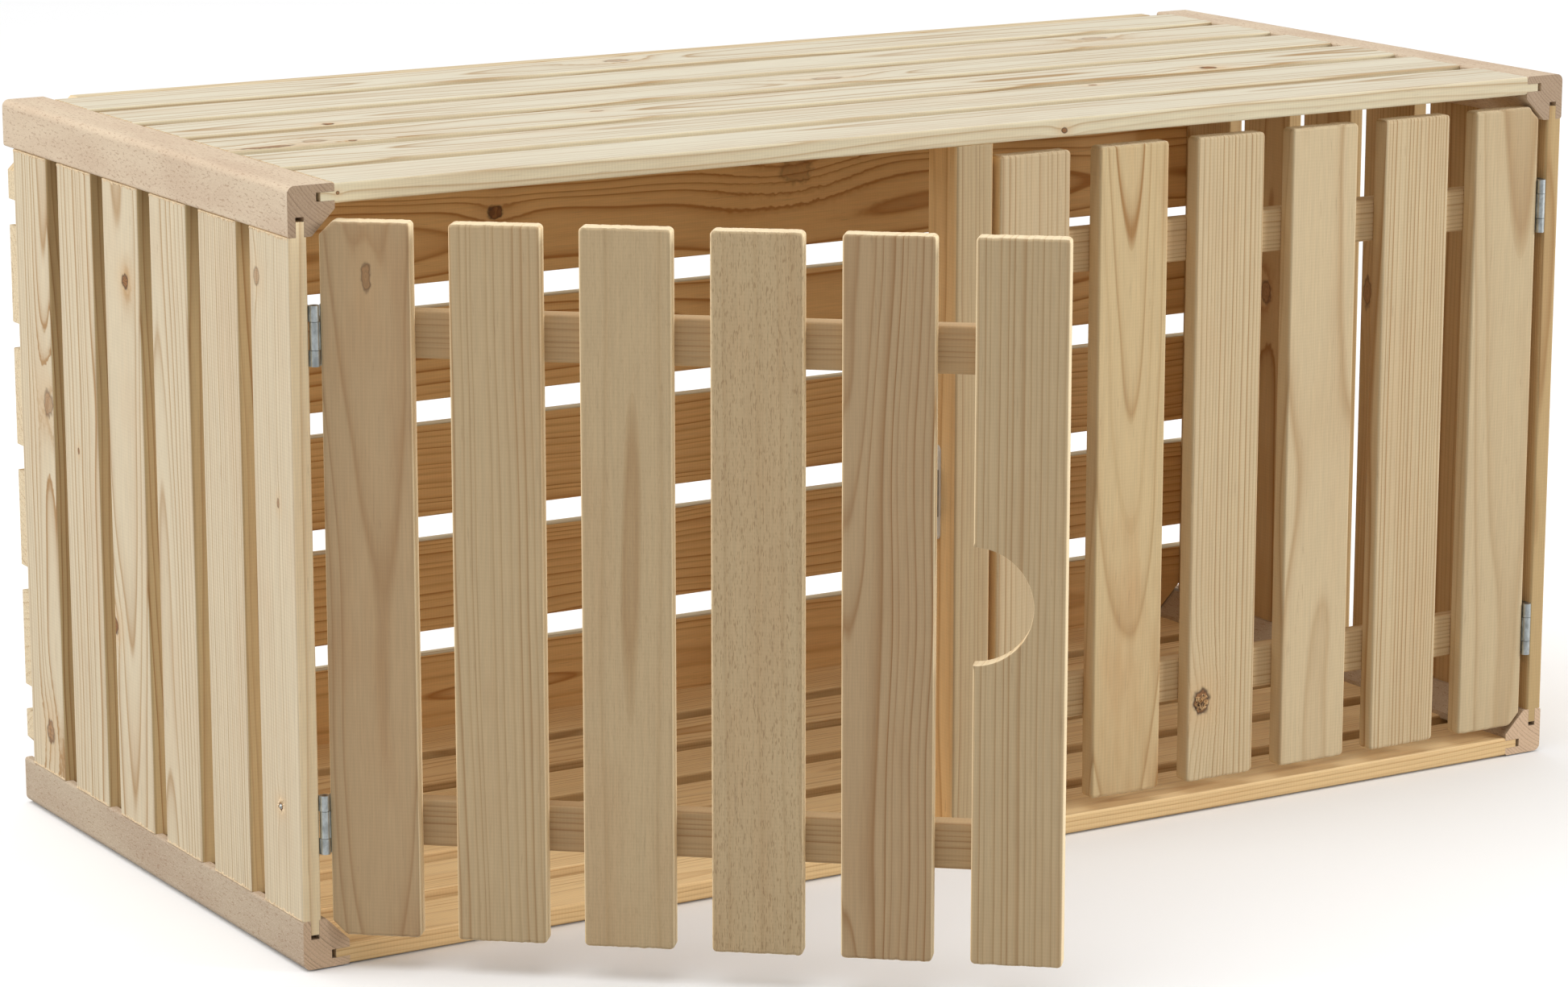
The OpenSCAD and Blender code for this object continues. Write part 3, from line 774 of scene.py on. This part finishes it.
for number, node in enumerate(sorted(n for n in nodes if n.startswith("rail_"))):
    # Top and bottom rails are lit and shaded copies of one beech: painted light and shade.
    tone, end_tone = TOP_TONES if "top" in node else BOTTOM_TONES
    dress(node, beech(node, BEECH_SEED_STEP * (number + 1), tone, end_tone))
print("beech rails dressed")

# %% [markdown]
# The fittings are thin zinc-plated steel: grey with a faint blue-green cast, cloudy where the
# plating is uneven, brushed a little by handling. The catches are white plastic.

# %% Metals and plastic
PLATING_CELLS = (220.0, 220.0, 132.0)
SCRATCH_CELLS = (4000.0, 4000.0, 120.0)
FLOW_CELLS = (90.0, 90.0, 40.0)
SPARK_CELLS = (2500.0, 2500.0, 2500.0)
DULL = (0.62, 0.62, 0.62)  # tint of the cloudy plating
DEEPER = (0.9, 0.9, 0.9)  # tint of the plastic where it flowed slowly
FINE_DEPTH = 0.0001  # metres for a height of 1


def zinc(name, tone, rough):
    """Steel with cloudy plating, darker and rougher where it is dull, and fine brushing."""
    material, w, shader = new_material(name)
    place = w.add("ShaderNodeTexCoord").outputs["Object"]
    cloud = w.noise(w.stretch(place, PLATING_CELLS), detail=4.0, roughness=0.65)
    scratch = w.noise(w.stretch(place, SCRATCH_CELLS), detail=2.0)
    colour = w.mix(w.step(cloud, 0.3, 0.7), scaled(tone, DULL), scaled(tone))
    w.feed(shader.inputs["Base Color"], colour)
    w.feed(shader.inputs["Roughness"], w.step(cloud, 0.3, 0.7, rough + 0.12, rough))
    shader.inputs["Metallic"].default_value = 1.0
    w.relief(shader, scratch, strength=0.25, distance=FINE_DEPTH)
    return material


def moulded_plastic(name, tone):
    """Plastic with faint flow clouds and the spark texture of its mould."""
    material, w, shader = new_material(name)
    place = w.add("ShaderNodeTexCoord").outputs["Object"]
    flow = w.noise(w.stretch(place, FLOW_CELLS), detail=2.0)
    spark = w.noise(w.stretch(place, SPARK_CELLS), detail=1.0)
    w.feed(shader.inputs["Base Color"], w.mix(flow, scaled(tone), scaled(tone, DEEPER)))
    w.feed(shader.inputs["Roughness"], w.step(flow, 0.3, 0.7, 0.38, 0.48))
    w.relief(shader, spark, strength=0.2, distance=FINE_DEPTH)
    return material


PLATED = zinc("zinc plate", (0.66, 0.71, 0.71), 0.30)
SCREW = zinc("screw steel", (0.62, 0.62, 0.58), 0.34)
WIRE = zinc("pin wire", (0.34, 0.35, 0.36), 0.42)
MAGNET = zinc("pole steel", (0.40, 0.40, 0.39), 0.45)
PLASTIC = moulded_plastic("white plastic", (0.80, 0.79, 0.74))
for node in nodes:
    if "hinge" in node or "strike" in node:
        dress(node, PLATED)
    if "screws" in node:
        dress(node, SCREW)
dress("hinge_pins", WIRE)
dress("catch_magnets", MAGNET)
dress("catch_housings", PLASTIC)
print("metals and plastic dressed")

# %% [markdown]
# The door slats are remade, because a saw and a router leave more than a plain rounding: the long
# edges are eased clean, but the ends are torn a little, with pale fibres standing up. Each slat is a
# band carried round its outline, with a quarter circle at the front and at the back, and a flat face
# on either side. Where the band runs round a sawn end, its offset and its easing get a fine jitter.

# %% Outline of a slat
# All in millimetres.
EASE = 2.0  # radius of the eased edges
FINGER_EASE = 0.5  # the same round the finger cut-out, which is sawn after the rest
CORNER = 3.0  # radius of the corners seen from the front
CORNER_STEPS = 7
FINGER_R = 37.0
FINGER_STEPS = 49
HINGE_CUT = 8.83  # legs of the corners cut off beside the rails
END_STEP, SIDE_STEP = 0.9, 5.0  # spacing of outline points along sawn ends and long sides
END_REACH, END_RISE = 1, 20  # a run this near an end, and climbing less than this, is a sawn end


def arc(centre, radius, start, stop, steps):
    """Points on a circle from one angle to another, in degrees."""
    angle = np.radians(np.linspace(start, stop, steps))
    return np.column_stack([centre[0] + radius * np.cos(angle), centre[1] + radius * np.sin(angle)])


def rounded(corners, radius):
    """A closed outline with each corner of a polygon replaced by an arc tangent to both its sides."""
    corners = np.asarray(corners, float)
    pieces = []
    for index, corner in enumerate(corners):
        back = corners[index - 1] - corner
        ahead = corners[(index + 1) % len(corners)] - corner
        back, ahead = back / np.linalg.norm(back), ahead / np.linalg.norm(ahead)
        half_angle = math.acos(np.clip(back @ ahead, -1, 1)) / 2
        reach = radius / math.tan(half_angle)
        bisector = (back + ahead) / np.linalg.norm(back + ahead)
        centre = corner + bisector * radius / math.sin(half_angle)
        first, last = corner + back * reach - centre, corner + ahead * reach - centre
        share = np.linspace(0, 1, CORNER_STEPS)[:, None]
        sweep = first * (1 - share) + last * share
        pieces.append(centre + radius * sweep / np.linalg.norm(sweep, axis=1)[:, None])
    return np.concatenate(pieces)


def filled_in(points, height):
    """The closed outline with points added along straight runs, closer together near the ends."""
    out = []
    for first, last in zip(points, np.roll(points, -1, axis=0)):
        length = np.linalg.norm(last - first)
        from_end = min(first[1], last[1], height - first[1], height - last[1])
        sawn_end = from_end < END_REACH and abs(first[1] - last[1]) < END_RISE
        steps = max(1, int(round(length / (END_STEP if sawn_end else SIDE_STEP))))
        share = np.arange(steps)[:, None] / steps
        out.append(first * (1 - share) + last * share)
    return np.concatenate(out)


def slat_outline(width, height, cut_corners, finger):
    """Anticlockwise outline with X = 0 at the hinge side, and how far each point's edge is eased."""
    if cut_corners:
        corners = [(HINGE_CUT, 0), (width, 0), (width, height), (HINGE_CUT, height),
                   (0, height - HINGE_CUT), (0, HINGE_CUT)]
    else:
        corners = [(0, 0), (width, 0), (width, height), (0, height)]
    points = filled_in(rounded(corners, CORNER), height)
    ease = np.full(len(points), EASE)
    if finger:
        start = int(np.argmin(points[:, 0] + abs(points[:, 1] - height / 2) * 1e-3))
        points, ease = np.roll(points, -start, axis=0), np.roll(ease, -start)
        outside = np.hypot(points[:, 0], points[:, 1] - height / 2) > FINGER_R
        points, ease = points[outside], ease[outside]
        gap = int(np.argmax(np.linalg.norm(np.roll(points, -1, axis=0) - points, axis=1))) + 1
        points, ease = np.roll(points, -gap, axis=0), np.roll(ease, -gap)
        bite = arc((0, height / 2), FINGER_R, 90, -90, FINGER_STEPS)
        points = np.concatenate([points, bite])
        ease = np.concatenate([ease, np.full(len(bite), FINGER_EASE)])
    return points, ease


slat_low, slat_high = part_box("right_door_slat_2")
SLAT_W, SLAT_T, SLAT_H = ((slat_high - slat_low) / MM)[:]
print("outline of a plain slat:", len(slat_outline(SLAT_W, SLAT_H, False, False)[0]), "points")

# %% [markdown]
# The surface of a slat is rows of points, each row the whole outline moved inwards and back along a
# quarter circle. The jitter comes from smooth closed curves with seeded values, so every slat is
# torn in its own way, and in the same way each time.

# %% Slat surface
EASE_STEPS = 5
EASE_JITTER = 0.15  # share of the easing that varies along a sawn end
RAGGED_END, FUZZ, DRIFT = 0.07, 0.05, 0.05  # millimetres: of tufts, of single fibres, of the saw
TUFT_SPACING, DRIFT_SPACING, EASE_SPACING = 2.5, 40, 3  # in outline points


def smooth_noise(count, spacing, rng):
    """Closed random curve of `count` values: a smooth step from one free value to the next, with
    one free value every `spacing` values."""
    free = max(4, int(count / spacing))
    values = rng.normal(size=free)
    place = np.arange(count) * free / count
    low = place.astype(int)
    share = place - low
    share = share * share * (3 - 2 * share)
    return values[low % free] * (1 - share) + values[(low + 1) % free] * share


def slat_band(points, ease, rng):
    """Rows of (across, depth, along): the outline pushed inwards and back along a quarter circle
    at the front, then the same at the back, with jitter where the grain was sawn across."""
    ahead, behind = np.roll(points, -1, axis=0), np.roll(points, 1, axis=0)
    tangent = ahead - behind
    tangent /= np.linalg.norm(tangent, axis=1)[:, None]
    inward = np.column_stack([-tangent[:, 1], tangent[:, 0]])
    count = len(points)
    torn = np.clip(abs(tangent[:, 0]) * 1.2 - 0.1, 0, 1) * (ease > 1)
    ragged = smooth_noise(count, TUFT_SPACING, rng)
    drift = smooth_noise(count, DRIFT_SPACING, rng)
    jitter = 1 + torn * EASE_JITTER * smooth_noise(count, EASE_SPACING, rng)
    edge = np.clip(ease * jitter, 0.4, 3.0)
    quarter = np.radians(np.linspace(0, 90, EASE_STEPS))
    rows = []
    for side in (0, 1):
        angles = quarter if side == 0 else quarter[::-1]
        for angle in angles:
            offset = edge * (1 - math.sin(angle))
            depth = edge * (1 - math.cos(angle))
            tear = torn * (RAGGED_END * ragged + FUZZ * rng.normal(size=count))
            push = offset + tear + DRIFT * drift
            at = points + inward * push[:, None]
            rows.append(np.column_stack([at[:, 0], depth if side == 0 else SLAT_T - depth, at[:, 1]]))
    rows[0][:, 1] = 0
    rows[-1][:, 1] = SLAT_T
    return np.stack(rows)


def band_mesh(name, rows):
    """A mesh from closed rows: quads between rows and one face over each end row."""
    row_count, count = rows.shape[:2]
    index = np.arange(row_count * count).reshape(row_count, count)
    ahead = np.roll(index, -1, axis=1)
    quads = np.stack([index[:-1], index[1:], ahead[1:], ahead[:-1]], axis=-1).reshape(-1, 4)
    faces = quads.tolist() + [index[0].tolist(), index[-1][::-1].tolist()]
    mesh = bpy.data.meshes.new(name)
    mesh.from_pydata(rows.reshape(-1, 3).tolist(), [], faces)
    smooth = np.ones(len(faces), bool)
    smooth[-2:] = False
    mesh.polygons.foreach_set("use_smooth", smooth)
    mesh.validate()
    return mesh


def face_outward(mesh, merge=None):
    """Turns all faces of closed shells outwards, after merging corners closer than `merge`."""
    bm = bmesh.new()
    bm.from_mesh(mesh)
    if merge:
        bmesh.ops.remove_doubles(bm, verts=bm.verts, dist=merge)
    bmesh.ops.recalc_face_normals(bm, faces=bm.faces)
    bm.to_mesh(mesh)
    bm.free()


def put(name, mesh, body, material, stands_for=()):
    """Links a piece to the scene with its material, parents it to its body's empty, and hides the CAD
    nodes it stands for.
    """
    mesh.materials.clear()
    mesh.materials.append(material)
    piece = bpy.data.objects.new(name, mesh)
    bpy.context.scene.collection.objects.link(piece)
    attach(piece, body)
    if stands_for:
        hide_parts(*stands_for)
    return piece


def door_slat(side, number):
    """One remade slat, placed on the middle of the CAD slat it stands for."""
    node = f"{side}_door_slat_{number}"
    across, out, up = DIRECTIONS[f"{side}_door_slat"]
    if side == "right":
        across = -across
    points, ease = slat_outline(SLAT_W, SLAT_H, number == 1, number == SLATS)
    rows = slat_band(points, ease, np.random.default_rng(100 * number + len(side)))
    low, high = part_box(node)
    local = (rows - np.array([SLAT_W / 2, SLAT_T / 2, SLAT_H / 2])) * MM
    world = np.array((low + high) / 2) + local @ np.array([across, -out, up])
    mesh = band_mesh(node + "_board", world if side == "left" else world[:, ::-1])
    return put(node + "_board", mesh, f"{side}_door", board_materials[node], [node])


door_boards = []
for side in ("left", "right"):
    door_boards += [door_slat(side, number + 1) for number in range(SLATS)]
print(len(door_boards), "door slats,", sum(len(b.data.polygons) for b in door_boards), "faces")

# %% [markdown]
# Screws carry most of the workshop look from behind. Their places are read from the CAD screws: each
# loose part's long direction is its axis, and its wide end is the head. The new head has a cross
# recess, which is a depth that depends on the distance from two crossed slots, on a polar grid.

# %% Places of the screws
def loose_parts(mesh):
    """The vertices of each separate part of a mesh, as arrays, found by merging equal corners."""
    co = np.empty(len(mesh.vertices) * 3)
    mesh.vertices.foreach_get("co", co)
    co = co.reshape(-1, 3)
    _, first, same = np.unique(np.round(co, 6), axis=0, return_index=True, return_inverse=True)
    same = same.reshape(-1)
    edges = np.empty(len(mesh.edges) * 2, int)
    mesh.edges.foreach_get("vertices", edges)
    edges = same[edges.reshape(-1, 2)]
    label = np.arange(len(first))
    while True:
        low = np.minimum(label[edges[:, 0]], label[edges[:, 1]])
        before = label.copy()
        np.minimum.at(label, edges[:, 0], low)
        np.minimum.at(label, edges[:, 1], low)
        label = label[label]
        if (label == before).all():
            break
    return [co[first[label == mark]] for mark in np.unique(label)]


def screw_place(points):
    """Head centre, unit direction from head to tip, and length of one CAD screw."""
    centre = points.mean(0)
    axis = np.linalg.svd(points - centre)[2][0]
    along = (points - centre) @ axis
    spread = np.linalg.norm(points - centre - np.outer(along, axis), axis=1)
    if along[spread > 0.9 * spread.max()].mean() > 0:
        axis, along = -axis, -along
    return centre + axis * along.min(), axis, along.max() - along.min()


print(len(loose_parts(nodes["frame_screws"].data)), "screws in the frame")

# %% Screws with a cross recess
# All in millimetres, along the radius or up from the face of the head.
HEAD_R, SHANK_R = 3.0, 1.5
RECESS_STEPS = [0.0, 0.25, 0.5, 0.75, 1.0, 1.25, 1.5, 1.75, 2.1, 2.7]
HEAD_DROP = 0.12  # of the rim of the head below its face
SLOT_HALF, SLOT_EASE = 0.42, 0.12
RECESS_R, RECESS_SLOPE, RECESS_DEPTH = 1.75, 0.7, 1.3
TURNS = 28  # points round a screw
MERGE = 1e-6  # metres
OFF_AXIS = (0.31, 0.52, 0.79)  # any direction that no screw has


def screw_surface(length, spin):
    """Radius and height on a polar grid: recess floor, head, cone, shank and point.

    The recess is deepest in the middle and runs out at RECESS_R, and only shows where the nearer
    of the two crossed slots is closer than half its width."""
    ring = np.array(RECESS_STEPS + [HEAD_R, SHANK_R, SHANK_R, 0.0])
    level = np.zeros(len(ring))
    level[-4:] = (-HEAD_DROP, SHANK_R - HEAD_R, SHANK_R - length, -length)
    angle = np.linspace(0, 2 * math.pi, TURNS, endpoint=False)
    x, y = ring[:, None] * np.cos(angle), ring[:, None] * np.sin(angle)
    nearest = np.minimum(abs(x), abs(y))
    in_slot = np.clip((SLOT_HALF - nearest) / SLOT_EASE + 0.5, 0, 1)
    slope = np.clip((RECESS_R - ring) / RECESS_SLOPE, 0, 1)[:, None]
    z = level[:, None] - RECESS_DEPTH * in_slot * slope * (ring < HEAD_R)[:, None]
    cos, sin = math.cos(spin), math.sin(spin)
    return np.stack([x * cos - y * sin, x * sin + y * cos, z], -1)


def screws(node, body):
    """All the screws of one CAD node as one mesh."""
    rng = np.random.default_rng(len(node))
    points, faces = [], []
    for part in loose_parts(nodes[node].data):
        head, axis, length = screw_place(part)
        grid = screw_surface(length / MM, rng.uniform(0, math.pi / 2))
        side = np.cross(axis, OFF_AXIS)
        side /= np.linalg.norm(side)
        base = np.array([side, np.cross(-axis, side), -axis])
        index = np.arange(grid.shape[0] * TURNS).reshape(grid.shape[0], TURNS)
        index += sum(map(len, points))
        ahead = np.roll(index, -1, axis=1)
        points.append((head + (grid * MM) @ base).reshape(-1, 3))
        quads = np.stack([index[:-1], index[1:], ahead[1:], ahead[:-1]], -1)
        faces.append(quads.reshape(-1, 4))
    mesh = bpy.data.meshes.new(node + "_turned")
    mesh.from_pydata(np.concatenate(points).tolist(), [], np.concatenate(faces).tolist())
    face_outward(mesh, MERGE)
    return put(node + "_turned", mesh, body, SCREW, [node])


for body in ("carcass", "left_door", "right_door"):
    node = "frame_screws" if body == "carcass" else body + "_screws"
    piece = screws(node, body)
    print(piece.name, len(piece.data.polygons), "faces")

# %% [markdown]
# Where the side slats butt against the rails, the saw tore the fibres of the shoulder. A burr is a
# thin ragged strip: its section is a low triangle, and its height and length along the grain are
# random from one point across the slat to the next.

# %% Torn shoulders of the side slats
rail_low, rail_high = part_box("rail_top_left")
RAIL_S = (rail_high - rail_low).x / MM
HEIGHT = cad_box[1][2] / MM
BURR_POINTS = 110  # across one slat
EDGE_GAP = 1.5  # millimetres left free at the slat's long edges
SHORTEST, LONGEST = 0.4, 2.1  # length of the fibres along the grain, and what the longest add
LOWEST, PROUDEST = 0.08, 0.42  # how far they stand out, and what the proudest add
SIDEWAYS = 0.25
TORN_WOOD = softwood(
    "left_slat_2", 91.0, contrast=0.1, tint=(1.05, 1.1, 1.3), edges=(1.0, 1.05, 1.2), warmth=0.1
)
TORN_WOOD.name = "torn fibres"


def burr(node, level, rng):
    """Closed strip along a shoulder. Rows: on the face, proud of the face, at the joint, inside."""
    low, high = (np.array(c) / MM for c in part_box(node))
    out = -1 if "left" in node else 1
    face = low[0] if out < 0 else high[0]
    joint, grain = (HEIGHT - RAIL_S, -1) if level == "top" else (RAIL_S, 1)
    across = np.linspace(low[1] + EDGE_GAP, high[1] - EDGE_GAP, BURR_POINTS)
    one = np.ones(BURR_POINTS)
    tuft = abs(smooth_noise(BURR_POINTS, 2, rng))
    tuft = tuft * (0.4 + 0.6 * abs(smooth_noise(BURR_POINTS, 9, rng)))
    length = SHORTEST + LONGEST * np.clip(tuft, 0, 1)
    proud = LOWEST + PROUDEST * np.clip(abs(smooth_noise(BURR_POINTS, 2, rng)), 0, 1)
    ragged = across + SIDEWAYS * rng.normal(size=BURR_POINTS)
    rows = [
        np.column_stack([(face - out * 0.05) * one, ragged, joint + grain * length]),
        np.column_stack([face + out * proud, across, joint + grain * length * 0.35]),
        np.column_stack([face + out * proud * 0.5, across, (joint + grain * 0.15) * one]),
        np.column_stack([(face - out * 0.6) * one, across, (joint + grain * 0.2) * one]),
    ]
    return np.stack(rows, axis=1) * MM


def burrs(side, rng):
    """The burrs at both ends of all the slats of one side, as one mesh."""
    points, faces = [], []
    for number in range(SLATS):
        for level in ("top", "bottom"):
            rings = burr(f"{side}_slat_{number + 1}", level, rng)
            count, width = rings.shape[:2]
            index = np.arange(count * width).reshape(count, width) + sum(map(len, points))
            ahead = np.roll(index, -1, axis=1)
            points.append(rings.reshape(-1, 3))
            quads = np.stack([index[:-1], ahead[:-1], ahead[1:], index[1:]], -1)
            faces += quads.reshape(-1, 4).tolist()
            faces += [index[0][::-1].tolist(), index[-1].tolist()]
    mesh = bpy.data.meshes.new(side + "_shoulder_burrs")
    mesh.from_pydata(np.concatenate(points).tolist(), [], faces)
    face_outward(mesh)
    return put(side + "_shoulder_burrs", mesh, "carcass", TORN_WOOD)


for side, seed in (("left", 5), ("right", 6)):
    piece = burrs(side, np.random.default_rng(seed))
    print(piece.name, len(piece.data.polygons), "faces")

# %% [markdown]
# Two marks of real timber come last. A dead knot crumbles when it is planed, and leaves a rough plug
# of bark. And one screw runs out through a slat: its tip stands in a ring of lifted splinters. Both
# are polar grids: height over a disc is a function of the distance from the middle and the angle.

# %% A shell over a disc
SPOKES = 40
SKIRT = 0.6  # millimetres that a shell reaches into the wood
SHELL_MERGE = 1e-7  # metres


def polar_shell(name, radius, height, centre, out, up):
    """A closed disc shell. Rows run from the middle out to the rim over the given heights, and then
    down into the wood. Radius and height are (rows, spokes) in millimetres."""
    side = np.cross(up, out)
    angle = np.linspace(0, 2 * math.pi, SPOKES, endpoint=False)
    radius = np.vstack([radius, radius[-1:] * 0.9, radius[-1:] * 0])
    height = np.vstack([height, np.full((2, SPOKES), -SKIRT)])
    x, y = radius * np.cos(angle), radius * np.sin(angle)
    place = x[..., None] * side + y[..., None] * np.array(up) + height[..., None] * np.array(out)
    rows = len(radius)
    index = np.arange(rows * SPOKES).reshape(rows, SPOKES)
    ahead = np.roll(index, -1, axis=1)
    faces = np.stack([index[:-1], index[1:], ahead[1:], ahead[:-1]], -1).reshape(-1, 4)
    mesh = bpy.data.meshes.new(name)
    mesh.from_pydata((np.array(centre) + place * MM).reshape(-1, 3).tolist(), [], faces.tolist())
    face_outward(mesh, SHELL_MERGE)
    return mesh


def column(*values):
    """One value a row, the same on every spoke."""
    return np.array(values)[:, None] * np.ones(SPOKES)


print("shells of", SPOKES, "spokes")

# %% Crumbled knot
BARK_BROWN, BARK_CRACK = (0.50, 0.27, 0.10, 1), (0.70, 0.48, 0.24, 1)
CRUMB_CELLS = (420.0, 420.0, 420.0)
CRACK_CELLS = (900.0, 900.0, 380.0)
BARK_DEPTH = 0.0008  # metres for a height of 1
KNOT_R, KNOT_ROWS = 6.0, 10
KNOT_ASIDE, KNOT_DOWN = 0.017, 0.170  # metres from the middle of its slat
mark_draws = np.random.default_rng(23)


def knot_bark():
    """Dark crumbs over brown bark, with pale cracks."""
    material, w, shader = new_material("knot bark")
    place = w.add("ShaderNodeTexCoord").outputs["Object"]
    crumb = w.noise(w.stretch(place, CRUMB_CELLS), detail=4.0, roughness=0.65)
    crack = w.noise(w.stretch(place, CRACK_CELLS), detail=3.0)
    shade = w.mix(w.step(crumb, 0.38, 0.6), KNOT_RIM, BARK_BROWN)
    shade = w.mix(w.step(crack, 0.55, 0.68), shade, BARK_CRACK)
    w.feed(shader.inputs["Base Color"], shade)
    w.feed(shader.inputs["Roughness"], w.step(crumb, 0.3, 0.7, 0.9, 0.7))
    w.relief(shader, crumb, strength=0.8, distance=BARK_DEPTH)
    return material


def crumbled_knot(draws):
    """A lumpy dome: height is a random curve round each ring times a half circle over the radius."""
    rings = np.linspace(0, 1, KNOT_ROWS)[:, None]
    rim = KNOT_R + 0.9 * smooth_noise(SPOKES, 4, draws)
    lumpy = np.stack([smooth_noise(SPOKES, 3, draws) for _ in rings])
    rise = (0.35 + 0.4 * abs(lumpy)) * np.sqrt(1 - rings**2) - 0.15 * (rings > 0.95)
    rise[0] = 0.5
    low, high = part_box("right_door_slat_4")
    place = ((low.x + high.x) / 2 - KNOT_ASIDE, low.y, (low.z + high.z) / 2 - KNOT_DOWN)
    return polar_shell("crumbled_knot", rings * rim, rise, place, -Y, Z)


piece = put("crumbled_knot", crumbled_knot(mark_draws), "right_door", knot_bark())
print(piece.name, len(piece.data.polygons), "faces")

# %% Screw tip among splinters
TIP = (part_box("left_slat_1")[0].x, -0.048, 0.1007)
tip_radius = column(0.0, 0.35, 1.0, 1.7, 1.75)
tip_height = column(1.4, 1.2, 0.75, 0.3, -0.2)
tip = polar_shell("screw_tip", tip_radius, tip_height, TIP, -X, Z)
put("screw_tip", tip, "carcass", SCREW)
lifted = abs(smooth_noise(SPOKES, 1.5, mark_draws))
crown_radius = column(0.0, 2.6, 2.9, 3.6, 5.2) * (1 + 0.12 * lifted)
crown_height = column(0.0, 0.0, 0.6, 0.35, 0.05) * (0.3 + lifted) - 0.1
crown = polar_shell("tip_splinters", crown_radius, crown_height, TIP, -X, Z)
put("tip_splinters", crown, "carcass", TORN_WOOD)
print("screw tip at", [round(v, 4) for v in TIP])
